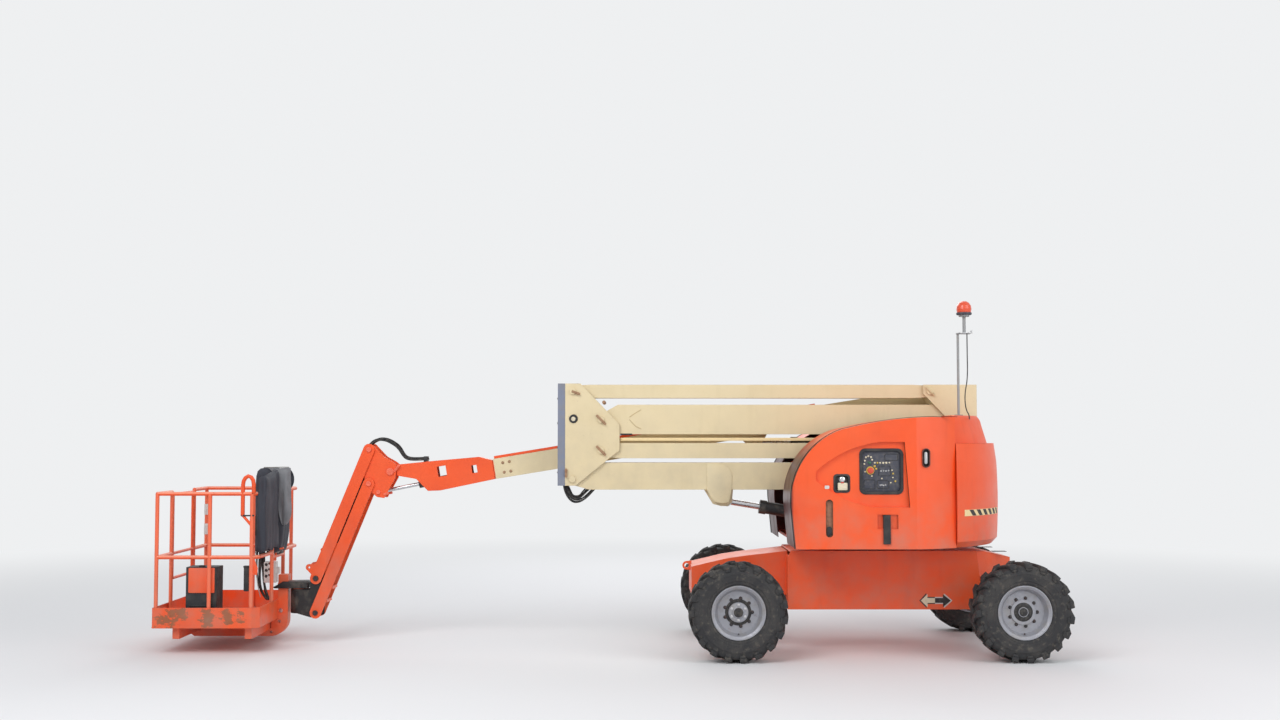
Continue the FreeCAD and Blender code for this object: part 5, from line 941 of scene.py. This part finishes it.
def add_flap():
    """The cover's front panel, thrown over its top and hanging outside the rails."""
    made = Piece("cover_flap", "platform", "charcoal_fabric", "flap_cloth")
    rows = []
    for height, left, right, y in FLAP_ROWS:
        row = []
        for share in (i / 12 for i in range(13)):
            wave = 7 * math.sin(share * 5.0 + height * 0.006) + 4 * math.sin(share * 11.0 - height * 0.011)
            turn_in = 46 * max(0.0, share - 0.72) ** 2 * 12
            row.append(spot(left + (right - left) * share, y + wave + turn_in + 6,
                            height - 6 * math.sin(share * math.pi)))
        rows.append(row)
    made.net(rows, flip=True)
    made.sheet(soft=2)
    lining = Piece("flap_lining", "platform", "charcoal_fabric", "cover_cloth")
    lining.net([[spot(right - 40 + (reach + 18) * i / 6, y + 34 * math.sin(i / 6 * 2.4), height) for i in range(7)]
                for height, right, reach, y in LINING_ROWS], flip=True)
    lining.sheet(soft=1)
    Piece("flap_binding", "platform", "charcoal_fabric", "fray_cloth").pipe(
        [spot(-5420, -34, 1601), spot(-5330, -44, 1602), spot(-5250, -48, 1604), spot(-5190, -42, 1603)],
        0.0042, 8).done()


def add_guard():
    """The small hoop and brace at the platform's near right corner."""
    y = POST_NEAR_Y
    arch = ((-5454, 1196), (-5454, 1462), (-5449, 1496), (-5434, 1522), (-5409, 1538), (-5384, 1528),
            (-5367, 1502), (-5361, 1462), (-5361, 1390))
    hoop = Piece("corner_hoop", "platform", "orange_paint").pipe([spot(x, y * 1000, z) for x, z in arch], 0.0175, 14)
    hoop.pipe((spot(-5455, y * 1000, 1200), spot(-5366, y * 1000, 1098)), 0.012).done(bevel=0.001)
    Piece("corner_strap", "platform", "black_steel").box(
        (at(-5466, 0)[0], at(-5350, 0)[0]), (y - 0.016, y - 0.011), (1.190, 1.203)).done(bevel=0.001)
    Piece("corner_plate", "platform", "orange_paint").slab(
        [at(-5375, 838), at(-5352, 830), at(-5316, 744), at(-5322, 682), at(-5366, 690), at(-5380, 760)],
        (y - 0.003, y + 0.003)).done(bevel=0.0015)


def add_tool_box():
    low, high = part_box("tool_box")
    span = (low.y - 0.005, low.y + 0.001)
    wide, tall = high.x - low.x, high.z - low.z
    Piece("box_panel", "platform", "orange_paint").slab(
        rounded((low.x + 0.022, high.z - 0.222), (high.x - 0.016, high.z - 0.006), 0.010),
        (low.y - 0.007, low.y + 0.001)).done(bevel=0.002)
    ribs = Piece("box_ribs", "platform")
    for share in (0.06, 0.2, 0.34):
        z = low.z + tall * share
        ribs.slab(rounded((low.x + 0.03, z), (high.x - 0.03, z + 0.016), 0.005), span)
    ribs.slab(rounded((low.x + wide * 0.4, high.z - 0.004), (low.x + wide * 0.6, high.z + 0.016), 0.006),
              (low.y + 0.010, low.y + 0.030))
    ribs.done(bevel=0.002)


def add_rail_details():
    """Bare grey plates on a far post, and the feet and bolts of the posts."""
    plates = Piece("blank_plates", "platform", "orange_paint", "pale_plate")
    x, y = RAIL_LOW.x + POST_HALF, RAIL_HIGH.y - POST_HALF
    for z0, z1 in ((1.128, 1.232), (0.940, 1.044)):
        plates.slab([(x - 0.016, z0), (x + 0.034, z0), (x + 0.034, z1), (x - 0.016, z1)], (y - 0.021, y - 0.018))
    plates.done(bevel=0.001)
    feet = Piece("post_feet", "platform", "orange_paint")
    bolts = Piece("post_bolts", "platform", "grey_steel")
    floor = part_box("platform_floor")[0].z
    for y in (RAIL_LOW.y + POST_HALF, RAIL_LOW.y + (RAIL_HIGH.y - RAIL_LOW.y - POST_HALF)):
        for x in (0.017, 0.474, 0.817):
            x += RAIL_LOW.x
            feet.box((x - 0.027, x + 0.027), (y - 0.0225, y + 0.0225), (floor + 0.0045, floor + 0.012))
            for dx in (-0.021, 0.021):
                bolts.bolt((x + dx, y, floor + 0.012), "z", 0.0045, 0.005)
    feet.done(bevel=0.001)
    bolts.done(bevel=0.0004, segments=1)


def add_console_hoses():
    """Hoses, the grey valve box and the foot lever under the console."""
    for i, line in enumerate(CONSOLE_HOSES):
        hose(f"console_hose_{i}", "platform", [spot(*point) for point in line], 0.0095)
    hose("console_wire_0", "platform", [spot(-5486, -20, 846), spot(-5478, -30, 700), spot(-5466, -20, 520),
                                        spot(-5440, -10, 430)], 0.004, skin="hose_grey")
    (x0, _), (x1, _) = at(-5412, 0), at(-5300, 0)
    box = Piece("valve_box", "platform", "grey_steel", "pale_plate")
    box.slab(rounded((x0, 0.560), (x1, 0.748), 0.008), (-0.020, 0.050))
    box.slab(rounded((x1 - 0.002, 0.640), (x1 + 0.026, 0.700), 0.006), (-0.006, 0.036)).done(bevel=0.003)
    grips = Piece("valve_caps", "platform", "grey_steel", "worn_iron")
    for z in (0.620, 0.672, 0.724):
        grips.bolt((x0 + 0.022, -0.020, z), "y", 0.011, -0.012)
        grips.bolt((x0 + 0.050, -0.020, z + 0.010), "y", 0.008, -0.009)
    grips.done(bevel=0.0006, segments=1)
    lever = Piece("foot_lever", "platform", "orange_paint")
    lever.pipe([spot(-5352, 20, 762), spot(-5322, 10, 800), spot(-5290, 0, 862), spot(-5236, -6, 872)], 0.0095, 10)
    lever.slab(rounded(at(-5352, 756), at(-5306, 812), 0.008), (0.004, 0.016)).done(bevel=0.001)


def add_console():
    """The control console under its cover: a sloped box on a foot, with its levers."""
    low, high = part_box("console")
    right, base, y = high.x - 0.090, high.z - 0.420, middle("console").y
    made = Piece("control_console", "platform")
    made.slab([(right - 0.190, base + 0.150), (right + 0.026, base + 0.150), (right + 0.026, base + 0.396),
               (right - 0.190, base + 0.330)], (low.y + 0.002, high.y - 0.002))
    made.box((right - 0.110, right + 0.020), (y - 0.060, y + 0.060), (low.z, base + 0.160))
    for dy in (-0.10, -0.04, 0.05, 0.11):
        made.lathe((right - 0.090, y + dy, base + 0.360), "z",
                   ((-0.02, 0.012), (0, 0.012), (0.006, 0.006), (0.045, 0.005), (0.050, 0.013), (0.066, 0.013)), 16)
    made.done(bevel=0.004, stands_for=("console",))


# Tower, booms and jib

PIN_PROUD, KEEPER_TALL = 0.014, 0.011
LOWER_NEAR, LOWER_FAR = -0.242, -0.058
UPRIGHT = ((-1, -0.270), (1, -0.030))
BRACKET = ((-1, 0.130 - 0.094), (1, 0.130 + 0.094))
BOOM_SLOPE, BOOM_Y, BOOM_HALF = math.radians(9.3), 130, 80
TOWER_HOSES = (
    # Columns: across, lowest point, reach to the left, reach to the right
    (-228, 1296, 0, 0), (-212, 1330, 14, -20), (-194, 1352, 26, -34), (-172, 1318, 6, 10), (-150, 1300, 0, 4),
    (-124, 1340, 20, -26), (-98, 1312, 4, -8), (-74, 1334, 12, -16),
)
JIB_HOSES = (
    # Columns: across at the fly, across at the bracket, lift, radius
    (76, 58, 0, 0.0075), (96, 69, 14, 0.006), (116, 80, 5, 0.0065), (144, 180, 20, 0.006), (164, 191, 9, 0.0065),
    (184, 202, 3, 0.0075),
)


def keeper(name, body, slot, centre, out, length, turn, skin):
    """A flat plate with one bolt that holds a pivot pin, lying against a side plate."""
    way = Vector((math.cos(turn), 0, math.sin(turn)))
    up = Vector((-way.z, 0, way.x))
    half, thick = length / 2, Y * (0.006 * out)
    ring = [centre + way * (a * half) + up * (b * KEEPER_TALL) for a, b in
            ((-1, -0.6), (-0.9, -1), (0.9, -1), (1, -0.6), (1, 0.6), (0.9, 1), (-0.9, 1), (-1, 0.6))]
    made = Piece(name, body, slot, skin).loops([ring, [point + thick for point in ring]])
    made.bolt(centre + way * (half * 0.45) + thick, "y", 0.010, 0.008 * out).done(bevel=0.001)


def pin_cap(made, centre, out, radius):
    made.lathe(centre, "y", ((0, radius), (0.0045, radius), (0.006, radius * 0.93), (0.006, radius * 0.30),
                             (0.0035, radius * 0.22), (0.0035, 0)), 28, out=out)


def word_of(out):
    return "near" if out < 0 else "far"


def add_tower_details():
    for out, face in UPRIGHT:
        word = word_of(out)
        centre = spot(-2603, face * 1000, 2039)
        Piece("hose_ring_" + word, "front_upright").lathe(centre, "y", (
            (0.0005, 0.020), (0.0065, 0.021), (0.0085, 0.028), (0.0085, 0.034), (0.006, 0.038), (0.0005, 0.038)),
            32, closed=True, out=out).done(smooth=60)
        Piece("hose_core_" + word, "front_upright", "cream_paint", "knob_cream").disc(
            centre, "y", 0.021, (-0.002, 0.003), 20, out).done(bevel=0.001)
        # Columns: word, x, z, turn, plate length
        for label, x, z, turn, long in (("a", -2355, 2030, -0.79, 0.120), ("b", -2355, 1755, -0.79, 0.120),
                                        ("c", -2580, 2272, -0.35, 0.080), ("d", -2666, 1556, 1.57, 0.080)):
            keeper(f"tower_keeper_{word}_{label}", "front_upright", "cream_paint",
                   spot(x, face * 1000, z) + Y * (PIN_PROUD * out), out, long, turn, "rust_plate")
    for out, face in UPRIGHT:
        for label, x, z, turn in (("a", 590, 2285, -0.8), ("b", 845, 2030, 0.6)):
            keeper(f"rear_keeper_{word_of(out)}_{label}", "rear_upright", "cream_paint",
                   spot(x, face * 1000, z) + Y * (PIN_PROUD * out), out, 0.11, turn, "faded_cream")
    low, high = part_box("hose_guard")
    bolts = Piece("guard_bolts", "front_upright", "blue_grey_plastic", "worn_iron")
    for z in (1.56, 1.78, 2.0, 2.22):
        for y in (low.y + 0.03, high.y - 0.03):
            bolts.bolt((low.x, y, z), "x", 0.008, -0.006)
    bolts.done(bevel=0.0005, segments=1)
    low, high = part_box("mid_boom")
    near, far = (low.y - 0.0012, low.y + 0.001), (high.y - 0.001, high.y + 0.0012)
    seam = Piece("tower_weld", "mid_boom", "cream_paint", "weld_cream")
    for y in (low.y * 1000 - 1, high.y * 1000 + 1):
        seam.pipe([spot(-2102, y, 2054), spot(-2050, y, 2090), spot(-2000, y, 2120)], 0.0035, 6)
        seam.pipe([spot(-2102, y, 2032), spot(-2045, y, 1971), spot(-1998, y, 1950)], 0.0035, 6)
    seam.done()
    Piece("mid_boom_line", "mid_boom", "cream_paint", "stripe_pale").box(
        (at(-2180, 0)[0], at(350, 0)[0]), near, (1.843, 1.870)).done(bevel=0.0006)
    shape = [at(*place) for place in ((-1410, 1638), (-1410, 1408), (-1372, 1335), (-1340, 1298), (-1272, 1284),
                                      (-1212, 1296), (-1186, 1408), (-1183, 1539), (-1220, 1607), (-1293, 1638))]
    lug = Piece("lower_boom_lug", "lower_boom", "cream_paint").slab(shape, (LOWER_NEAR - 0.006, LOWER_NEAR + 0.001))
    lug.slab(shape, (LOWER_FAR - 0.001, LOWER_FAR + 0.006)).done(bevel=0.0015)
    # Painted shade: a black strip on both faces of the mid boom where a shaded gap shows between the booms.
    dark = Piece("mid_boom_slot_shade", "mid_boom", "cream_paint", "gloss_black")
    for span in (near, far):
        dark.slab(rounded(at(-2185, 1894), at(-2076, 1908), 0.006), span)
    dark.done()
    fitting = Piece("tower_fitting", "front_upright", "cream_paint", "rust_plate")
    for x, z, size in ((-2330, 2187, 0.013), (-2621, 1506, 0.012)):
        for out, face in UPRIGHT:
            fitting.bolt(spot(x, face * 1000, z), "y", size, 0.012 * out)
    fitting.done(bevel=0.0008, segments=1)


def add_tower_hoses():
    """Loops of hose under the tower's front, from the upright to the lower boom."""
    for i, (y, low, left, right) in enumerate(TOWER_HOSES):
        points = ((-2668, 1590), (-2694 + left, 1500), (-2688 + left, low + 116), (-2654 + left, low + 40),
                  (-2606, low - 4), (-2548, low - 2), (-2490 + right, low + 34), (-2440 + right, low + 84),
                  (-2396 + right, 1436), (-2350 + right, 1500))
        hose(f"tower_hose_{i}", "front_upright", [spot(x, y, z) for x, z in points], 0.0065, end="lower_boom")


def on_boom(share, lift, y):
    """A place on the main boom's line: millimetres from its rear pivot and above the line."""
    return spot(850 - share * math.cos(BOOM_SLOPE) - lift * math.sin(BOOM_SLOPE), y,
                2265 - share * math.sin(BOOM_SLOPE) + lift * math.cos(BOOM_SLOPE))


def add_boom_details():
    tip = Piece("boom_tip_bolts", "main_boom", "cream_paint", "rust_plate")
    for out in (-1, 1):
        for share, lift in ((4096, -38), (4096, 50), (4157, -38), (4157, 50)):
            tip.bolt(on_boom(share, lift, BOOM_Y + out * BOOM_HALF), "y", 0.011, 0.008 * out)
    tip.done(bevel=0.0008, segments=1)
    # The two windows through the fly's nose, with a pin's head in each; a black block inside each window is painted
    # shade.
    nose = Piece("nose_pins", "fly", "orange_paint", "worn_iron")
    caps = Piece("nose_caps", "fly", "orange_paint", "pale_steel")
    dark = Piece("nose_window_shade", "fly", "orange_paint", "gloss_black")
    for x, z, half_x, half_z, holder in ((-3663, 1588, 44, 34, nose), (-3374, 1620, 27, 24, caps)):
        x0, x1 = at(x - half_x, 0)[0], at(x + half_x, 0)[0]
        dark.box((x0 - 0.004, x1 + 0.004), (0.075, 0.185), ((z - half_z) / 1000 - 0.004, (z + half_z) / 1000 + 0.004))
        for out, y in ((-1, 0.075), (1, 0.185)):
            holder.lathe(((x0 + x1) / 2, y, z / 1000), "y",
                         ((0, 0.018), (0.006, 0.018), (0.010, 0.012), (0.012, 0)), 16, out=out)
    nose.done(bevel=0.0006)
    caps.done(bevel=0.0006)
    dark.done(bevel=0.001)


def add_jib_details():
    made = Piece("bracket_caps", "jib_bracket", "orange_paint", "faded_orange")
    for out, face in BRACKET:
        pin_cap(made, spot(-4285, (face + 0.010 * out) * 1000, 1562), out, 0.033)
        pin_cap(made, spot(-4391, (face + 0.008 * out) * 1000, 1375), out, 0.020)
    made.done(bevel=0.0008)
    for out, face in BRACKET:
        for label, x, z, turn, long in (("a", -4227, 1592, 0.9, 0.080), ("b", -4318, 1360, 0.2, 0.050)):
            keeper(f"jib_keeper_{word_of(out)}_{label}", "jib_bracket", "orange_paint", spot(x, face * 1000, z),
                   out, long, turn, "faded_orange")
    low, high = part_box("jib_arm_upper")
    for name, body, slot, skin, places in (
            ("jib_pin_caps", "jib_bracket", "orange_paint", "faded_orange", ((-4478, 1763), (-4478, 1453))),
            ("head_pin_caps", "jib_head", "black_steel", "worn_iron", ((-4950, 595), (-4950, 285)))):
        caps = Piece(name, body, slot, skin)
        for out, face in ((-1, low.y - 0.008), (1, high.y + 0.008)):
            for x, z in places:
                pin_cap(caps, spot(x, face * 1000, z), out, 0.024)
        caps.done(bevel=0.0008)


def add_jib_hoses():
    """Strands that arch over the jib bracket from the fly's top and run down between the arms."""
    for i, (fly_y, y, lift, radius) in enumerate(JIB_HOSES):
        points = [spot(x, across, z) for x, across, z in (
            (-3950, fly_y, 1672 + lift), (-4060, fly_y, 1664 + lift), (-4142, fly_y, 1672 + lift),
            (-4177, (fly_y + y) / 2, 1706 + lift), (-4215, y, 1772 + lift), (-4267, y, 1812 + lift),
            (-4335, y, 1846 + lift), (-4408, y, 1850 + lift), (-4470, y, 1816 + lift), (-4512, y, 1760),
            (-4542, y, 1680), (-4570, y, 1600))]
        hose(f"jib_hose_{i}", "jib_bracket", points, radius, end="fly")
    Piece("hose_clamp_fly", "fly", "black_steel").box(
        (at(-3985, 0)[0], at(-3955, 0)[0]), (0.060, 0.192), (1.6365, 1.7000)).done(bevel=0.002)


def add_head_details():
    """The rotator's black top cover."""
    Piece("rotator_cover", "platform", "black_steel").slab(
        [at(-5346, 512), at(-5256, 562), at(-5046, 566), at(-5030, 548), at(-5030, 501.5), at(-5330, 501.5)],
        (0.044, 0.216)).done(bevel=0.005, segments=3)


# Beacon, chassis, engine and tank

MAST_SHELF = 2.776
CHASSIS_HALF = 0.400
ARROW_MIDDLE_X, ARROW_MIDDLE_Z, ARROW_RIM = 588, 439, 9
ARROWS = (
    # Columns: name, outline, skin of the rim, skin of the middle
    ("left", ((450, 439), (513, 506), (513, 471), (588, 471), (588, 410), (513, 410), (513, 374)),
     "stripe_black", "knob_cream"),
    ("right", ((741, 439), (667, 374), (667, 410), (588, 410), (588, 471), (667, 471), (667, 503)),
     "pale_plate", "stripe_black"),
)


def add_beacon():
    centre = middle("beacon")
    Piece("beacon_band", "turntable", skin="panel_grey").lathe(
        (centre.x, centre.y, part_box("beacon")[0].z), "z",
        ((-0.001, 0.047), (-0.001, 0.062), (0.004, 0.066), (0.016, 0.067), (0.020, 0.064), (0.020, 0.050)),
        40, closed=True).done(smooth=50)
    bracket = Piece("beacon_plate", "turntable", "grey_steel", "pale_steel")
    z, deep = MAST_SHELF, (centre.y - 0.030, centre.y + 0.030)
    bracket.box((centre.x - 0.066, centre.x + 0.066), deep, (z, z + 0.006))
    bracket.box((centre.x + 0.060, centre.x + 0.066), deep, (z + 0.005, z + 0.030))
    for dx in (-0.040, 0.040):
        bracket.bolt((centre.x + dx, centre.y, z + 0.006), "z", 0.008, 0.007)
    bracket.done(bevel=0.001)
    hose("beacon_cable", "turntable", [spot(x, centre.y * 1000 - 18, z) for x, z in (
        (834, 2774), (834, 2600), (836, 2440), (828, 2340), (812, 2270), (810, 2170), (824, 2100), (846, 2070),
        (848, 2030))], 0.0048)


def drawn_in(points, size):
    """A smaller copy of an outline, drawn in towards its middle line."""
    centre = sum(x for x, _ in points) / len(points)
    made = []
    for x, z in points:
        edge = 0 if abs(x - ARROW_MIDDLE_X) < 1 else size if x < centre else -size
        made.append((x + edge * (1.5 if abs(z - ARROW_MIDDLE_Z) < 1 else 1),
                     z + size * ((z < ARROW_MIDDLE_Z) - (z > ARROW_MIDDLE_Z))))
    return made


def add_arrow():
    """The two-way arrow on the chassis sides, without a word on it."""
    for word, out in SIDES:
        face = CHASSIS_HALF * out
        for label, points, rim, core in ARROWS:
            Piece(f"arrow_rim_{label}_{word}", "chassis", "orange_paint", rim).slab(
                [at(*p) for p in points], sorted((face + 0.0010 * out, face - 0.001 * out))).done()
            Piece(f"arrow_{label}_{word}", "chassis", "orange_paint", core).slab(
                [at(*p) for p in drawn_in(points, ARROW_RIM)], sorted((face + 0.0018 * out, face))).done()


def add_tongue():
    """Plates where the chassis meets the turntable's tail."""
    plate = Piece("tongue_plate", "chassis", "orange_paint", "gloss_black")
    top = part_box("chassis_frame")[1].z
    for y in (-0.30, 0.22):
        plate.box((at(1126, 0)[0], at(1250, 0)[0]), (y, y + 0.08), (top - 0.10, top - 0.095))
    plate.done(bevel=0.001)


def add_engine():
    """What shows with the far hood open: a block with its covers, fan, filter, silencer and pipes."""
    low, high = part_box("engine_block")
    front, middle_y, middle_z = high.y, (low.y + high.y) / 2, (low.z + high.z) / 2
    iron = Piece("engine_iron", "turntable", "dark_iron")
    iron.slab(rounded((low.x + 0.06, low.z + 0.05), (high.x - 0.16, low.z + 0.20), 0.03), (front - 0.01, front + 0.035))
    iron.slab(rounded((low.x + 0.10, low.z + 0.22), (high.x - 0.20, low.z + 0.42), 0.02), (front - 0.01, front + 0.020))
    for i in range(5):
        iron.lathe((low.x + 0.14 + i * 0.082, front + 0.018, low.z + 0.32), "y",
                   ((0, 0.026), (0.012, 0.026), (0.020, 0.018)), 20)
    iron.done(bevel=0.004)
    Piece("engine_cover", "turntable").slab(
        rounded((low.x + 0.08, high.z - 0.02), (high.x - 0.18, high.z + 0.045), 0.018),
        (low.y + 0.10, high.y - 0.06)).done(bevel=0.006, segments=3)
    fan = Piece("engine_fan", "turntable")
    fan.lathe((high.x - 0.012, middle_y, middle_z), "x",
              ((0, 0.150), (0.040, 0.150), (0.040, 0.138), (0.010, 0.138)), 40, closed=True)
    hub = Vector((high.x + 0.014, middle_y, middle_z))
    for turn in (math.tau * i / 7 for i in range(7)):
        way = Vector((0, math.cos(turn), math.sin(turn)))
        across = Vector((0, -way.z, way.y))
        fan.loops([[hub + way * reach + across * wide + X * deep for wide, deep in (
            (-0.022, 0.006), (0.022, -0.006), (0.022, -0.009), (-0.022, 0.003))] for reach in (0.02, 0.08, 0.134)])
    fan.lathe((high.x, middle_y, middle_z), "x", ((0, 0.034), (0.028, 0.034), (0.034, 0.026)), 24)
    fan.done(bevel=0.001)
    Piece("air_filter", "turntable").lathe((low.x + 0.05, front - 0.07, high.z + 0.052), "x", (
        (0, 0.030), (0.006, 0.050), (0.030, 0.052), (0.036, 0.047), (0.250, 0.047), (0.256, 0.052), (0.280, 0.050),
        (0.288, 0.030)), 36).done(bevel=0.001)
    y, z = low.y + 0.09, high.z + 0.060
    silencer = Piece("silencer", "turntable", "dark_iron", "rust_stain").lathe(
        (low.x + 0.10, y, z), "x", ((0, 0.034), (0.012, 0.056), (0.330, 0.056), (0.342, 0.034)), 36)
    silencer.pipe(((low.x + 0.44, y, z), (low.x + 0.54, y, z)), 0.020, 16).done(bevel=0.001)
    bands = Piece("engine_bands", "turntable", "grey_steel", "pale_steel")
    for x in (low.x + 0.12, low.x + 0.27):
        bands.lathe((x, front - 0.07, high.z + 0.052), "x",
                    ((0, 0.0475), (0, 0.0495), (0.014, 0.0495), (0.014, 0.0475)), 36, closed=True)
    bands.box((low.x + 0.11, low.x + 0.32), (front - 0.10, front - 0.04), (high.z - 0.001, high.z + 0.006)).done()
    for i, (x0, z0, x1, z1) in enumerate(((0.20, 0.44, 0.30, 0.10), (0.26, 0.46, 0.50, 0.16), (0.34, 0.48, 0.42, 0.08))):
        hose(f"engine_hose_{i}", "turntable", [Vector((low.x + x, front + y, low.z + z)) for x, y, z in (
            (x0, -0.012, z0), (x0, 0.030, z0), ((x0 + x1) / 2, 0.050, (z0 + z1) / 2), (x1, 0.046, z1),
            (x1, 0.020, z1 - 0.03))], 0.010)


def add_tank():
    """The hydraulic tank's cap, sight glass, straps and filter."""
    low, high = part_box("hydraulic_tank")
    face, y = low.y, (low.y + high.y) / 2
    Piece("tank_cap", "turntable").lathe((low.x + 0.16, y, high.z), "z", (
        (0, 0.040), (0.012, 0.040), (0.014, 0.048), (0.040, 0.048), (0.044, 0.042)), 24).done(bevel=0.002)
    Piece("tank_filter", "turntable", "grey_steel").lathe((high.x - 0.16, y, high.z), "z", (
        (0, 0.052), (0.010, 0.052), (0.012, 0.042), (0.090, 0.042), (0.096, 0.034)), 32).done(bevel=0.001)
    glass = Piece("tank_sight", "turntable", "bare_steel", "pale_steel")
    glass.slab(rounded((low.x + 0.12, low.z + 0.09), (low.x + 0.15, low.z + 0.21), 0.010), (face - 0.010, face + 0.001))
    for z in (0.105, 0.195):
        glass.bolt((low.x + 0.135, face - 0.009, low.z + z), "y", 0.008, -0.007)
    glass.done(bevel=0.001)
    straps = Piece("tank_straps", "turntable", "black_steel")
    for x in (low.x + 0.06, high.x - 0.09):
        straps.box((x, x + 0.030), (face - 0.003, face + 0.001), (low.z, high.z + 0.003))
        straps.box((x, x + 0.030), (face - 0.003, high.y + 0.003), (high.z - 0.001, high.z + 0.003))
    straps.done(bevel=0.0008)
    end = high.y - 0.02
    for i, x in enumerate((low.x + 0.30, low.x + 0.36, low.x + 0.42)):
        hose(f"tank_hose_{i}", "turntable", [Vector((x + dx, across, high.z + dz)) for dx, across, dz in (
            (0, y, -0.01), (0, y, 0.07), (0.03, y + 0.02, 0.12), (0.10, y + 0.07, 0.10), (0.14, end, 0.04),
            (0.14, end, -0.01))], 0.011)


def add_manual_box():
    """The black document tube inside the near right corner post."""
    y = POST_NEAR_Y + 0.030
    made = Piece("manual_tube", "platform").slab(rounded(at(-5446, 540), at(-5400, 752), 0.008), (y, y + 0.040))
    made.slab(rounded(at(-5450, 744), at(-5396, 760), 0.004), (y - 0.003, y + 0.043)).done(bevel=0.002)
    hose("post_cable", "platform", [spot(-5386, y * 1000, z) for z in (1130, 1010, 880, 760, 620)], 0.008)


add_camera()
add_lights()
add_floor()
for wheel, hub_kind in WHEELS.items():
    axle = middle("tyre_" + wheel)
    add_tyre(wheel, axle)
    add_hub(wheel, hub_kind == "drive", axle, -1 if "near" in wheel else 1)
for add in (add_control_face, add_switch, add_hood_trim, add_stripes, add_console, add_cover, add_guard, add_tool_box,
            add_rail_details, add_console_hoses, add_tower_details, add_tower_hoses, add_boom_details, add_jib_details,
            add_jib_hoses, add_head_details, add_beacon, add_arrow, add_tongue, add_engine, add_tank, add_manual_box):
    add()
